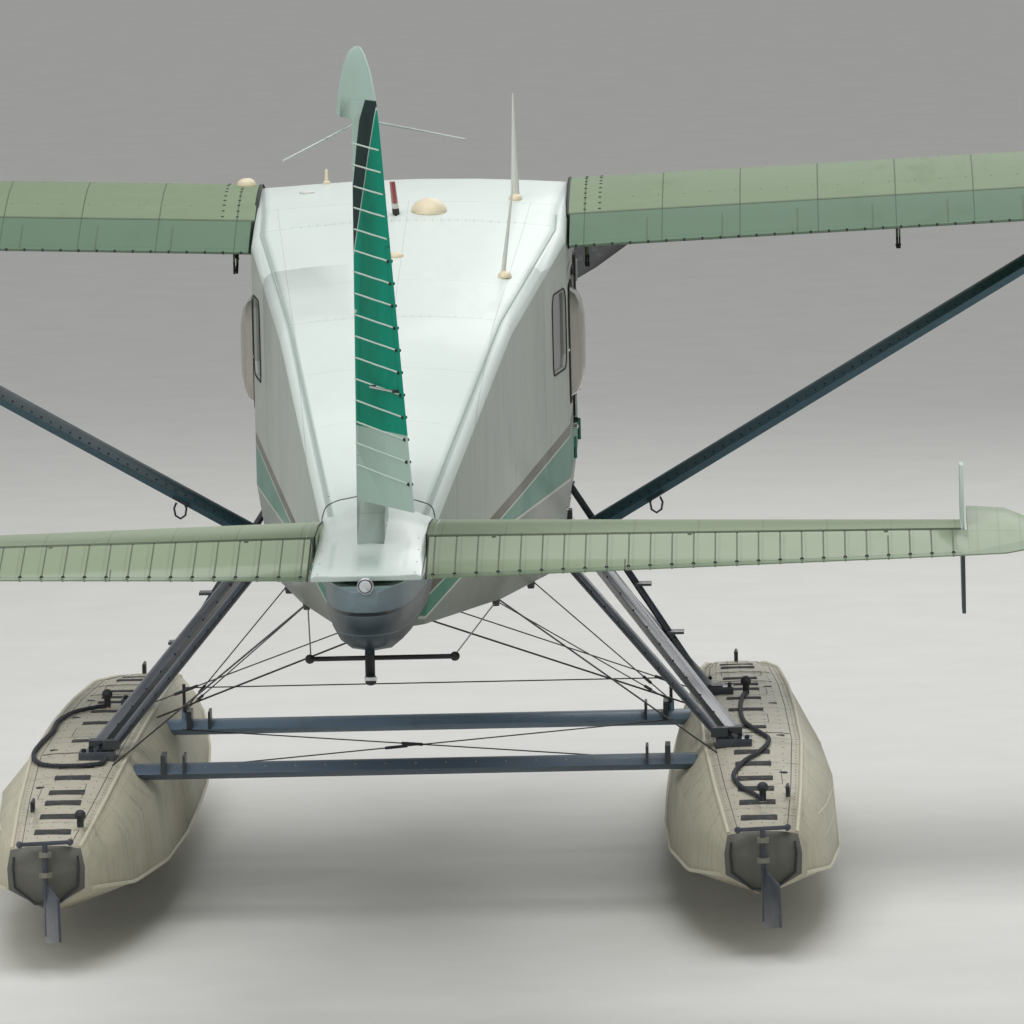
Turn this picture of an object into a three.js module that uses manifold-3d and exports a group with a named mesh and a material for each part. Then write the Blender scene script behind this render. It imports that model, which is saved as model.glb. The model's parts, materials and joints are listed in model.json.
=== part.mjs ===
// A high-wing bush aircraft on twin floats: metal airframe, braced wing, turbine nose.
// Millimetres. +X is towards the nose, +Y to port, +Z up.
// Places along the aircraft and heights are taken from the tail light, and the whole
// aircraft is then lifted so that its keels stand on Z = 0.
import * as THREE from 'three';
import { mergeVertices } from 'three/addons/utils/BufferGeometryUtils.js';
import Module from 'manifold-3d';

const wasm = await Module();
wasm.setup();

// Driving dimensions
const FLOAT_BOW = 13300;
const TAIL_LIGHT_REACH = 28;
const TAIL_TO_MIDDLE = (FLOAT_BOW - TAIL_LIGHT_REACH) / 2;
const KEEL_DEPTH = 2420;
const GAP = 0.3;
const RUNNING_GAP = 8;

const WALL = 50;
const FLOOR_TOP = -480;
const CEILING_SPLIT = 1000;
const SCREEN_SILL = 430;
const TAIL_FRAME = 2000;
const CABIN_REAR = 6600;
const CABIN_FRONT = 10800;
const SCREEN_TOP = 9760;
const BODY_HALF = 845;

const WING_CHORD = 1980;
const WING_NOSE = 9600;
const WING_ROOT = 845;
const WING_TIP = 8840;
const WING_CHORD_Z = 1062;
const WING_INCIDENCE = 2.5;
const WING_DIHEDRAL = 2.1;
const FLAP_FROM = 862;
const FLAP_TO = 5000;
const AILERON_FROM = 5030;
const AILERON_TO = 8480;
const FLAP_CHORD = 480;
const AILERON_CHORD = 400;

const TAIL_HINGE = 800;
const TAILPLANE_Z = 95;
const TAILPLANE_NOSE = 2000;
const TAILPLANE_ROOT = 268;
const ELEVATOR_ROOT = 282;
const FINLET_Y = 2873;
const TAIL_TIP = 3230;

const RUDDER_REST = 17;
const ELEVATOR_REST = 8;
const FIN_TOP = 2165;
const RUDDER_FOOT = 335;

const PROP_AXIS = 143;
const PROP_RADIUS = 1345;
const PROP_PLANE = 12930;
const SPINNER_RADIUS = 200;
const SPINNER_BACK = 12772;
const SPINNER_TIP = 13250;

// Each float's middle line runs in a little towards the bow
const FLOAT_STERN_Y = 1850;
const FLOAT_TOE = 0.0245;
const FLOAT_STEP = 8300;
const FLOAT_STERN = 4600;

// Finishes
const FINISHES = {
  white: [0xdfe8e2, 0.35, 0.1],
  side: [0xb9b8ab, 0.3, 0.2],
  sage: [0x8fae8e, 0.45, 0.1],
  teal: [0x1f4a50, 0.35, 0.2],
  strut: [0x3f6f78, 0.4, 0.3],
  emerald: [0x0b7a5b, 0.4, 0.1],
  float: [0xcfcbb8, 0.5, 0.2],
  steel: [0x4b5360, 0.45, 0.7],
  bright: [0xc9ccd0, 0.15, 1.0],
  blade: [0x2b2d30, 0.5, 0.2],
  glass: [0x6f7f80, 0.08, 0.0],
  interior: [0x6b6a62, 0.8, 0.0],
  seat: [0x4a4d52, 0.9, 0.0],
  cream: [0xd9cfae, 0.5, 0.0],
  rope: [0x2a2d33, 0.9, 0.0],
  dark: [0x1c1e20, 0.6, 0.2],
  engine: [0x5a5c5e, 0.5, 0.8],
};

const aircraft = new THREE.Group();

// Solid helpers
function solidOf(geometry) {
  const bare = geometry.clone();
  bare.deleteAttribute('normal');
  bare.deleteAttribute('uv');
  const merged = mergeVertices(bare, 1e-3);
  return new wasm.Manifold(new wasm.Mesh({
    numProp: 3,
    vertProperties: new Float32Array(merged.attributes.position.array),
    triVerts: new Uint32Array(merged.index.array),
  }));
}

function geometryOf(solid) {
  const mesh = solid.getMesh();
  const geometry = new THREE.BufferGeometry();
  geometry.setAttribute('position', new THREE.BufferAttribute(new Float32Array(mesh.vertProperties), 3));
  geometry.setIndex(new THREE.BufferAttribute(new Uint32Array(mesh.triVerts), 1));
  geometry.computeVertexNormals();
  return geometry;
}

function piece(name, solid, finish, group = aircraft) {
  const [color, roughness, metalness] = FINISHES[finish];
  const material = new THREE.MeshStandardMaterial({ color, roughness, metalness });
  const mesh = new THREE.Mesh(geometryOf(solid), material);
  mesh.name = name;
  group.add(mesh);
  return mesh;
}

function box(x0, x1, y0, y1, z0, z1) {
  const geometry = new THREE.BoxGeometry(x1 - x0, y1 - y0, z1 - z0);
  geometry.translate((x0 + x1) / 2, (y0 + y1) / 2, (z0 + z1) / 2);
  return solidOf(geometry);
}

// A round bar between two points
function rod(from, to, radius, sides = 12, endRadius = radius) {
  const a = new THREE.Vector3(...from);
  const b = new THREE.Vector3(...to);
  const geometry = new THREE.CylinderGeometry(endRadius, radius, a.distanceTo(b), sides);
  const along = b.clone().sub(a).normalize();
  geometry.applyQuaternion(new THREE.Quaternion().setFromUnitVectors(new THREE.Vector3(0, 1, 0), along));
  geometry.translate((a.x + b.x) / 2, (a.y + b.y) / 2, (a.z + b.z) / 2);
  return solidOf(geometry);
}

function ball(centre, radius, wide = 10, high = 6) {
  const geometry = new THREE.SphereGeometry(radius, wide, high);
  geometry.translate(...centre);
  return solidOf(geometry);
}

function lathe(profile, sides) {
  return new THREE.LatheGeometry(profile.map(([r, h]) => new THREE.Vector2(r, h)), sides);
}

// A closed loft through rings that have the same number of points
function loft(rings) {
  const count = rings[0].length;
  const positions = rings.flatMap((ring) => ring.flatMap((p) => [...p]));
  const index = [];
  for (let s = 0; s < rings.length - 1; s += 1) {
    for (let i = 0; i < count; i += 1) {
      const j = (i + 1) % count;
      const a = s * count + i;
      const b = s * count + j;
      index.push(a, b, b + count, a, b + count, a + count);
    }
  }
  for (const [ring, first, turned] of [[rings[0], 0, true], [rings.at(-1), (rings.length - 1) * count, false]]) {
    for (const [a, b, c] of THREE.ShapeUtils.triangulateShape(flatten(ring), [])) {
      index.push(first + a, first + (turned ? c : b), first + (turned ? b : c));
    }
  }
  const geometry = new THREE.BufferGeometry();
  geometry.setAttribute('position', new THREE.Float32BufferAttribute(positions, 3));
  geometry.setIndex(index);
  return solidOf(signedVolume(positions, index) < 0 ? turnedOut(geometry) : geometry);
}

// A ring's points in its own plane, turning the same way as the ring
function flatten(ring) {
  const normal = new THREE.Vector3();
  ring.forEach((p, i) => {
    const q = ring[(i + 1) % ring.length];
    normal.x += (p[1] - q[1]) * (p[2] + q[2]);
    normal.y += (p[2] - q[2]) * (p[0] + q[0]);
    normal.z += (p[0] - q[0]) * (p[1] + q[1]);
  });
  const size = [Math.abs(normal.x), Math.abs(normal.y), Math.abs(normal.z)];
  const drop = size.indexOf(Math.max(...size));
  const [u, v] = [[1, 2], [2, 0], [0, 1]][drop];
  const sign = Math.sign(normal.getComponent(drop));
  return ring.map((p) => new THREE.Vector2(p[u] * sign, p[v]));
}

function signedVolume(positions, index) {
  let volume = 0;
  for (let t = 0; t < index.length; t += 3) {
    const [a, b, c] = [0, 1, 2].map((k) => new THREE.Vector3().fromArray(positions, 3 * index[t + k]));
    volume += a.dot(b.cross(c));
  }
  return volume;
}

function turnedOut(geometry) {
  const index = geometry.index.array;
  for (let t = 0; t < index.length; t += 3) {
    [index[t], index[t + 1]] = [index[t + 1], index[t]];
  }
  return geometry;
}

// A value read from a table by straight lines between its rows
function between(table, column, x) {
  const rows = [...table].sort((a, b) => a[0] - b[0]);
  if (x <= rows[0][0]) return rows[0][column];
  for (let i = 1; i < rows.length; i += 1) {
    if (x <= rows[i][0]) {
      const t = (x - rows[i - 1][0]) / (rows[i][0] - rows[i - 1][0]);
      return rows[i - 1][column] + t * (rows[i][column] - rows[i - 1][column]);
    }
  }
  return rows.at(-1)[column];
}

// Both sides: calls make(side, name ending) with side +1 for port and -1 for starboard
function bothSides(make) {
  make(1, 'left');
  make(-1, 'right');
}

// Fuselage sections
// columns: x, half width, roof, shoulder, shoulder radius, chine, belly half width, belly edge, belly
const BODY = [
  [2000, 280, 200, 150, 60, -60, 215, -400, -430],
  [5170, 600, 880, 850, 70, -150, 520, -590, -612],
  [7600, 845, 1209, 1160, 80, -180, 770, -672, -695],
  [8050, 845, 1275, 1240, 70, -180, 770, -672, -695],
  [8900, 845, 1350, 1325, 30, -180, 770, -672, -695],
  [9400, 845, 1325, 1290, 30, -180, 770, -672, -695],
  [9760, 845, 1150, 1110, 60, -180, 770, -672, -695],
  [10600, 775, 610, 560, 150, -180, 690, -655, -680],
  [10800, 735, 580, 510, 180, -180, 620, -640, -670],
  [11500, 600, 520, 440, 200, -130, 450, -560, -590],
  [12200, 420, 430, 360, 180, -60, 300, -440, -470],
  [12560, 285, 375, 330, 140, 0, 200, -345, -370],
  [12760, 225, 352, 310, 120, 20, 160, -290, -315],
];

function bodyRing(x, inset) {
  const [half, roof, shoulder, radius, chine, bellyHalf, bellyEdge, belly] =
    [1, 2, 3, 4, 5, 6, 7, 8].map((column) => between(BODY, column, x));
  const w = half - inset;
  const r = Math.max(radius - inset, 10);
  const top = roof - inset;
  const edge = shoulder - inset;
  const side = [];
  for (const t of [0, 0.4, 0.75]) {
    side.push([t * (w - r), top - (top - edge) * t * t]);
  }
  for (const a of [0, 30, 60, 90]) {
    const turn = THREE.MathUtils.degToRad(a);
    side.push([w - r + r * Math.sin(turn), edge - r * (1 - Math.cos(turn))]);
  }
  side.push([w, chine]);
  side.push([bellyHalf - inset, bellyEdge + inset]);
  side.push([0, belly + inset]);
  const other = side.slice(1, -1).reverse().map(([y, z]) => [-y, z]);
  return [...side, ...other].map(([y, z]) => [x, y, z]);
}

function bodyLoft(from, to, inset = 0) {
  const stations = BODY.map((row) => row[0]).filter((x) => x > from && x < to);
  return loft([from, ...stations, to].map((x) => bodyRing(x, inset)));
}

// Cabin: belly with floor, two side walls, roof, windscreen frame, doors and glass
function slantedCut(corners, y0, y1) {
  return loft([y0, y1].map((y) => corners.map(([x, z]) => [x, y, z])));
}

const WINDOWS = {
  // corners in side view: x, z
  rear_window: [[6930, 430], [7440, 430], [7495, 490], [7495, 780], [7450, 835], [6985, 835], [6930, 780]],
  front_window: [[8640, 430], [9060, 430], [9060, 840], [8640, 840]],
};
const COCKPIT_DOOR = { from: 9140, to: 9730, low: -290, high: 955 };
const COCKPIT_GLASS = { from: 9210, to: 9660, low: 390, high: 880 };
const CABIN_DOOR = { from: 7640, to: 8540, low: -440, high: 920 };
const BUBBLE = { from: 7760, to: 8420, low: 225, high: 805, proud: 85 };
const SCREEN = { from: 9830, to: 10540, low: 560 };
const FAR = 3000;
const HINGE = { radius: 8, height: 60, leaf: 24, places: [-100, 780] };

const outer = bodyLoft(CABIN_REAR, CABIN_FRONT);
const cabinRoom = (grow) => bodyLoft(CABIN_REAR - 200, CABIN_FRONT + 200, WALL + grow);
const aboveFloor = (grow) => box(0, FAR * 6, -FAR, FAR, FLOOR_TOP + grow, FAR);
const shell = outer.subtract(cabinRoom(0).intersect(aboveFloor(0)));

function doorBox(door, side, grow) {
  const y = side > 0 ? [300, FAR] : [-FAR, -300];
  return box(door.from - grow, door.to + grow, ...y, door.low - grow, door.high + grow);
}

function shrunk(corners, amount) {
  const cx = corners.reduce((sum, c) => sum + c[0], 0) / corners.length;
  const cz = corners.reduce((sum, c) => sum + c[1], 0) / corners.length;
  return corners.map(([x, z]) => {
    const away = Math.hypot(x - cx, z - cz);
    const keep = (away - amount) / away;
    return [cx + (x - cx) * keep, cz + (z - cz) * keep];
  });
}

// A raised panel behind the seats carries cargo
const CARGO_PANEL = { from: 6680, to: 7540, half: 560, proud: 4 };
const cargoPanel = box(CARGO_PANEL.from, CARGO_PANEL.to, -CARGO_PANEL.half, CARGO_PANEL.half,
  FLOOR_TOP - 10, FLOOR_TOP + CARGO_PANEL.proud);
const belly = shell.intersect(box(0, FAR * 6, -FAR, FAR, -FAR, FLOOR_TOP - GAP));
piece('cabin_belly', belly.add(cargoPanel), 'side');
piece('cabin_roof', shell.intersect(box(0, SCREEN_TOP, -FAR, FAR, CEILING_SPLIT, FAR)), 'white');

const paneLayer = bodyLoft(CABIN_REAR, CABIN_FRONT, 12).subtract(bodyLoft(CABIN_REAR - 50, CABIN_FRONT + 50, 22));
const screenBox = (grow) => box(SCREEN.from - grow, SCREEN.to + grow, -FAR, FAR, SCREEN.low - grow, FAR);
const screenFrame = shell.intersect(box(SCREEN_TOP + GAP, CABIN_FRONT, -FAR, FAR, SCREEN_SILL, FAR));
piece('windscreen_frame', screenFrame.subtract(screenBox(0)), 'white');
piece('windscreen', paneLayer.intersect(screenBox(-GAP)), 'glass');

bothSides((side, ending) => {
  const half = (solid) => solid.intersect(box(0, FAR * 6, ...(side > 0 ? [5, FAR] : [-FAR, -5]), -FAR, FAR));
  const across = side > 0 ? [300, FAR] : [-FAR, -300];

  const wallBand = shell
    .intersect(box(0, FAR * 6, -FAR, FAR, FLOOR_TOP, CEILING_SPLIT - GAP))
    .subtract(box(SCREEN_TOP, FAR * 6, -FAR, FAR, SCREEN_SILL - GAP, FAR));
  const wall = half(wallBand)
    .subtract(doorBox(COCKPIT_DOOR, side, RUNNING_GAP))
    .subtract(doorBox(CABIN_DOOR, side, RUNNING_GAP))
    .subtract(slantedCut(WINDOWS.rear_window, ...across))
    .subtract(slantedCut(WINDOWS.front_window, ...across))
    .add(hinges(COCKPIT_DOOR, side, 'wall'))
    .add(hinges(CABIN_DOOR, side, 'wall'));
  piece(`cabin_side_${ending}`, wall, 'side');

  const panel = (door) => shell.intersect(doorBox(door, side, 0)).add(hinges(door, side, 'door'));
  piece(`cockpit_door_${ending}`, panel(COCKPIT_DOOR).subtract(doorBox(COCKPIT_GLASS, side, 0)), 'side');
  piece(`cabin_door_${ending}`, panel(CABIN_DOOR).subtract(doorBox(BUBBLE, side, 0)), 'side');
  piece(`cockpit_window_${ending}`, paneLayer.intersect(doorBox(COCKPIT_GLASS, side, -GAP)), 'glass');
  piece(`bubble_window_${ending}`, bubble(side), 'glass');
  const rearPane = paneLayer.intersect(slantedCut(shrunk(WINDOWS.rear_window, 1), ...across));
  piece(`rear_window_${ending}`, rearPane, 'glass');
});

// Door hinges: knuckles one above the other on a line just outside the skin, each with a leaf to its own side
function hinges(door, side, part) {
  const line = { x: door.to + RUNNING_GAP / 2, y: BODY_HALF + HINGE.radius + 1 };
  const leafEdges = [side * (BODY_HALF - 6), side * (BODY_HALF + 6)].sort((a, b) => a - b);
  const onWall = part === 'wall';
  const leafEnds = onWall ? [line.x, line.x + HINGE.leaf] : [line.x - HINGE.leaf, line.x];
  const knuckles = HINGE.places.map((middle) => {
    const low = onWall ? middle - HINGE.height : middle + GAP / 2;
    const high = onWall ? middle - GAP / 2 : middle + HINGE.height;
    return rod([line.x, side * line.y, low], [line.x, side * line.y, high], HINGE.radius, 10)
      .add(box(...leafEnds, ...leafEdges, low, high));
  });
  return knuckles[0].add(knuckles[1]);
}

// A blown window: a shallow dish with square shoulders, its rim in the door's opening
function bubble(side) {
  const middle = [(BUBBLE.from + BUBBLE.to) / 2, (BUBBLE.low + BUBBLE.high) / 2];
  const reach = [(BUBBLE.to - BUBBLE.from) / 2 - GAP, (BUBBLE.high - BUBBLE.low) / 2 - GAP];
  const corner = (v) => Math.sign(v) * Math.abs(v) ** 0.4;
  // columns: share of the width, distance out from the wall as a share of the height of the dish
  const dome = [[1, -0.4], [1, 0], [0.93, 0.45], [0.78, 0.78], [0.5, 0.96], [0.2, 1]];
  const dish = (thin, deeper) => loft(dome.map(([size, out], row) => {
    const ring = [];
    for (let k = 0; k < 24; k += 1) {
      const a = (k / 24) * 2 * Math.PI;
      ring.push([
        middle[0] + (reach[0] * size - thin) * corner(Math.cos(a)),
        side * (BODY_HALF + out * BUBBLE.proud - thin - (row === 0 ? deeper : 0)),
        middle[1] + (reach[1] * size - thin) * corner(Math.sin(a)),
      ]);
    }
    return ring;
  }));
  return dish(0, 0).subtract(dish(8, 40));
}

// Firewall with the instrument panel and its pedestal
const PANEL = { from: 10300, to: 10380, half: 640, low: 60, high: 540 };
const firewall = cabinRoom(GAP).intersect(box(CABIN_FRONT - 30, CABIN_FRONT, -FAR, FAR, -FAR, FAR));
const panelBoard = box(PANEL.from, PANEL.to, -PANEL.half, PANEL.half, PANEL.low, PANEL.high)
  .add(box(PANEL.from + 20, CABIN_FRONT - 10, -130, 130, FLOOR_TOP, PANEL.low + 40))
  .add(box(PANEL.from - 120, PANEL.to - 20, -PANEL.half, PANEL.half, PANEL.high - 25, PANEL.high))
  .add(rod([PANEL.from + 20, -420, 200], [9960, -420, 260], 18, 8))
  .add(rod([PANEL.from + 20, 420, 200], [9960, 420, 260], 18, 8));
piece('instrument_panel', panelBoard.intersect(cabinRoom(3)).add(firewall).intersect(aboveFloor(GAP)), 'dark');

// Seats, each row on the rails that carry it
const SEAT = { height: 380, depth: 440, pad: 110, back: 95, legHalf: 150, rail: 30 };
// columns: middle x, middle y, width, back height
const CREW_SEATS = [
  [9560, 420, 480, 620],
  [9560, -420, 480, 620],
];
const CABIN_SEATS = [
  [8760, 430, 440, 560],
  [8760, -430, 440, 560],
  [7900, 430, 440, 560],
  [7900, -430, 440, 560],
];
function seat([x, y, width, back]) {
  const top = FLOOR_TOP + SEAT.height;
  const rear = x - SEAT.depth / 2;
  return box(rear, x + SEAT.depth / 2, y - width / 2, y + width / 2, top - SEAT.pad, top)
    .add(loft([y - width / 2, y + width / 2].map((edge) => [
      [rear - 20, edge, top - SEAT.pad],
      [rear + SEAT.back, edge, top - SEAT.pad],
      [rear + SEAT.back - 110, edge, top + back],
      [rear - 110, edge, top + back],
    ])))
    .add(box(x - SEAT.legHalf, x + SEAT.legHalf, y - 120, y + 120, FLOOR_TOP + GAP, top - SEAT.pad + 5));
}
function rail(x0, x1, y0, y1) {
  return box(x0, x1, y0, y1, FLOOR_TOP + GAP, FLOOR_TOP + SEAT.rail);
}
piece('crew_seats', CREW_SEATS.map(seat).reduce((all, one) => all.add(one), rail(9440, 9480, -430, 430)), 'seat');
const cabinRails = rail(7880, 7920, -440, 440).add(rail(7880, 8780, 410, 450)).add(rail(7880, 8780, -450, -410));
piece('cabin_seats', CABIN_SEATS.map(seat).reduce((all, one) => all.add(one), cabinRails), 'seat');

// Rear fuselage, tail fairing with its shelf, and tail cone
const HATCH = { half: 260, low: -330, high: 480 };
const rearShell = bodyLoft(TAIL_FRAME, CABIN_REAR - GAP)
  .subtract(bodyLoft(TAIL_FRAME + 30, CABIN_REAR - 40, 28))
  .subtract(box(CABIN_REAR - 100, CABIN_REAR + 100, -HATCH.half, HATCH.half, HATCH.low, HATCH.high));
piece('rear_fuselage', rearShell, 'white');

// columns: x, half width, roof, shoulder, underside
const FAIRING = [
  [110, 266, 26, 22, 2],
  [860, 268, 112, 80, -20],
  [1500, 268, 160, 112, -20],
  [1999.7, 268, 198, 130, -20],
];
function fairingLoft(grow = 0) {
  return loft(FAIRING.map(([x, half, roof, shoulder, under]) => {
    const w = half + grow;
    const top = [[0, roof], [0.55 * w, roof - 0.3 * (roof - shoulder)], [0.9 * w, shoulder + 8], [w, shoulder]];
    const side = [...top.map(([y, z]) => [y, z + grow]), [w, under - grow]];
    const ring = [...side, ...side.slice(1).reverse().map(([y, z]) => [-y, z])];
    return ring.map(([y, z]) => [x, y, z]);
  }));
}
piece('tail_fairing', fairingLoft(), 'white');

// columns: x, half width, top, underside
const CONE = [
  [4, 60, -45, -160],
  [90, 120, -25, -255],
  [300, 175, -21, -345],
  [700, 218, -21, -395],
  [1300, 250, -21, -415],
  [1999.7, 272, -21, -428],
];
function coneLoft(grow = 0) {
  return loft(CONE.map(([x, half, top, under]) => {
    const ring = [];
    for (let k = 0; k <= 10; k += 1) {
      const a = Math.PI * (k / 10);
      const out = Math.sign(Math.cos(a)) * Math.abs(Math.cos(a)) ** 0.7 * (half + grow);
      ring.push([x, out, top + grow - (top - under + 2 * grow) * Math.sin(a) ** 0.8]);
    }
    return ring;
  }));
}
const LIGHT = { radius: 34, z: -12 };
const TAIL_BAR = { x: 400, z: -398, port: 290, starboard: -410, foot: -514 };
const tailLight = rod([60, 0, LIGHT.z], [-TAIL_LIGHT_REACH, 0, LIGHT.z], LIGHT.radius, 14, LIGHT.radius - 6);
const tailBar = rod([TAIL_BAR.x, 0, -330], [TAIL_BAR.x - 20, 0, TAIL_BAR.foot], 24, 10)
  .add(rod([TAIL_BAR.x, TAIL_BAR.starboard, TAIL_BAR.z], [TAIL_BAR.x, TAIL_BAR.port, TAIL_BAR.z], 12, 8))
  .add(ball([TAIL_BAR.x, TAIL_BAR.starboard, TAIL_BAR.z], 24))
  .add(ball([TAIL_BAR.x, TAIL_BAR.port, TAIL_BAR.z], 24));
piece('tail_cone', coneLoft().add(tailLight).add(tailBar).subtract(fairingLoft(GAP)), 'teal');

// Fin: rings at rising heights
// columns: z, leading edge x, half thickness
const FIN = [
  [30, 2760, 66],
  [300, 2520, 62],
  [FIN_TOP, 1290, 42],
];
const FIN_BACK = 872;
const fin = loft(FIN.map(([z, nose, half]) => {
  const chord = nose - FIN_BACK;
  const side = [[FIN_BACK, half], [FIN_BACK + chord * 0.45, half * 0.98], [nose - chord * 0.12, half * 0.55]];
  return [...side, [nose, 0], ...side.reverse().map(([x, y]) => [x, -y])].map(([x, y]) => [x, y, z]);
}));
// Hinge lugs: plates with a round end and a boss on the hinge line, in slots in the nose of the moving surface
const LUG = { half: 8, radius: 18, boss: 7, bossHalf: 10, behind: 25 };
const RUDDER_LUGS = [560, 1250, 1940];
function lugAlongZ(z) {
  const onHinge = (half, radius) => rod([TAIL_HINGE, 0, z - half], [TAIL_HINGE, 0, z + half], radius, 12);
  return box(TAIL_HINGE, FIN_BACK + 20, -LUG.radius, LUG.radius, z - LUG.half, z + LUG.half)
    .add(onHinge(LUG.half, LUG.radius))
    .add(onHinge(LUG.bossHalf, LUG.boss));
}
const finSeated = fin.subtract(bodyLoft(TAIL_FRAME, CABIN_REAR, -GAP)).subtract(fairingLoft(GAP));
// Two aerial rods stand out from the top of the fin, swept back
const FIN_AERIAL = { root: [1230, 8, 2148], radius: 7 };
// columns: side, tip
const FIN_AERIAL_TIPS = [
  [1, [650, 370, 1995]],
  [-1, [650, -515, 2080]],
];
const finAerials = FIN_AERIAL_TIPS.map(([side, tip]) => {
  const [x, y, z] = FIN_AERIAL.root;
  return rod([x, side * y, z], tip, FIN_AERIAL.radius, 8, FIN_AERIAL.radius - 3);
});
piece('fin', [...RUDDER_LUGS.map(lugAlongZ), ...finAerials].reduce((all, one) => all.add(one), finSeated), 'sage');

// Moving tail surfaces have a round nose about their hinge
function noseAndTail(hinge, radius, trailing, thin = 3) {
  const side = [];
  for (const a of [0, 22.5, 45, 67.5, 90]) {
    const turn = THREE.MathUtils.degToRad(a);
    side.push([hinge + radius * Math.cos(turn), radius * Math.sin(turn)]);
  }
  side.push([trailing + (hinge - trailing) * 0.45, radius * 0.5]);
  side.push([trailing, thin]);
  return [...side, ...side.slice(1).reverse().map(([x, h]) => [x, -h])];
}

// columns: z, nose radius, chord behind the hinge
const RUDDER = [
  [RUDDER_FOOT, 58, 830],
  [FIN_TOP + 15, 40, 340],
  [2290, 36, 300],
];
// columns: z, ahead of the hinge, behind it, half thickness
const HORN = [
  [FIN_TOP + 15, 445, 340, 40],
  [2290, 400, 300, 36],
  [2420, 300, 210, 30],
  [2500, 185, 110, 20],
  [2530, 60, 40, 8],
];
const rudderGroup = new THREE.Group();
rudderGroup.position.x = TAIL_HINGE;
rudderGroup.rotation.z = THREE.MathUtils.degToRad(RUDDER_REST);
aircraft.add(rudderGroup);
const rudderBlade = loft(RUDDER.map(([z, radius, chord]) => noseAndTail(0, radius, -chord).map(([x, y]) => [x, y, z])))
  .add(loft(HORN.map(([z, ahead, behind, half]) => {
    const side = [[ahead, 0], [ahead * 0.55, half * 0.9], [0, half], [-behind * 0.6, half * 0.5], [-behind, 3]];
    return [...side, ...side.slice(1).reverse().map(([x, y]) => [x, -y])].map(([x, y]) => [x, y, z]);
  })));
const rudderSlots = RUDDER_LUGS.map((z) =>
  box(-LUG.behind, 200, -100, 100, z - LUG.bossHalf - GAP, z + LUG.bossHalf + GAP));
piece('rudder', rudderSlots.reduce((all, slot) => all.subtract(slot), rudderBlade), 'emerald', rudderGroup);

// Tailplane, finlets and elevators
// columns: y, leading edge x, half thickness
const TAILPLANE = [
  [TAILPLANE_ROOT + GAP, TAILPLANE_NOSE - 1, 62],
  [FINLET_Y, 1500, 38],
];
const TAILPLANE_BACK = 862;
// columns: y, nose radius, trailing edge x
const ELEVATOR = [
  [ELEVATOR_ROOT, 50, 150],
  [2895, 30, 395],
];
const ELEVATOR_LUGS = [600, 1550, 2500];
// columns: y, front x, trailing edge x, half thickness
const ELEVATOR_HORN = [
  [2895, 1440, 395, 30],
  [3080, 1380, 420, 26],
  [3190, 1180, 500, 18],
  [TAIL_TIP, 900, 640, 8],
];
// columns: z, front x, back x
const FINLET = [
  [-300, 1240, 960],
  [-120, 1430, 890],
  [200, 1450, 885],
  [420, 1200, 1000],
];

function hingeLug(hinge, front, y, z) {
  const onHinge = (half, radius) => rod([hinge, y - half, z], [hinge, y + half, z], radius, 12);
  return box(hinge, front, y - LUG.half, y + LUG.half, z - LUG.radius, z + LUG.radius)
    .add(onHinge(LUG.half, LUG.radius))
    .add(onHinge(LUG.bossHalf, LUG.boss));
}
function lugSlot(hinge, y) {
  const half = LUG.bossHalf + GAP;
  return box(hinge - LUG.behind, hinge + 200, y - half, y + half, -FAR, FAR);
}

// The elevators rest a little down, turned about the hinge
const elevatorGroup = new THREE.Group();
elevatorGroup.position.set(TAIL_HINGE, 0, TAILPLANE_Z);
elevatorGroup.rotation.y = -THREE.MathUtils.degToRad(ELEVATOR_REST);
aircraft.add(elevatorGroup);

bothSides((side, ending) => {
  const tailplane = loft(TAILPLANE.map(([y, nose, half]) => {
    const chord = nose - TAILPLANE_BACK;
    const top = [[TAILPLANE_BACK, half * 0.85], [nose - chord * 0.55, half], [nose - chord * 0.12, half * 0.6]];
    const ring = [...top, [nose, 0], ...top.reverse().map(([x, h]) => [x, -h])];
    return ring.map(([x, h]) => [x, side * y, TAILPLANE_Z + h]);
  }));
  const finlet = loft([-1, 1].map((face) => [
    ...FINLET.map(([z, front]) => [front, side * (FINLET_Y + face * 9), z]),
    ...[...FINLET].reverse().map(([z, , back]) => [back, side * (FINLET_Y + face * 9), z]),
  ]));
  const lugs = ELEVATOR_LUGS.map((y) => hingeLug(TAIL_HINGE, TAILPLANE_BACK + 20, side * y, TAILPLANE_Z));
  piece(`tailplane_${ending}`, lugs.reduce((all, lug) => all.add(lug), tailplane.add(finlet)), 'sage');

  const elevator = loft(ELEVATOR.map(([y, radius, trailing]) =>
    noseAndTail(0, radius, trailing - TAIL_HINGE).map(([x, h]) => [x, side * y, h])))
    .add(loft(ELEVATOR_HORN.map(([y, front, back, half]) => {
      const top = [[front, 0], [front - (front - back) * 0.2, half * 0.9],
        [front - (front - back) * 0.5, half], [back, 3]];
      return [...top, ...top.slice(1).reverse().map(([x, h]) => [x, -h])]
        .map(([x, h]) => [x - TAIL_HINGE, side * y, h]);
    })));
  const slots = ELEVATOR_LUGS.map((y) => lugSlot(0, side * y));
  piece(`elevator_${ending}`, slots.reduce((all, slot) => all.subtract(slot), elevator), 'sage', elevatorGroup);
});

// Wings
const FOIL_STEPS = [1, 0.88, 0.76, 0.6, 0.45, 0.3, 0.18, 0.09, 0.035, 0.008];
const FOIL_THICKNESS = 0.175;
const FOIL_CAMBER = 0.02;
const FOIL_CREST = 0.4;
const TRAILING_HALF = 3;

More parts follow.
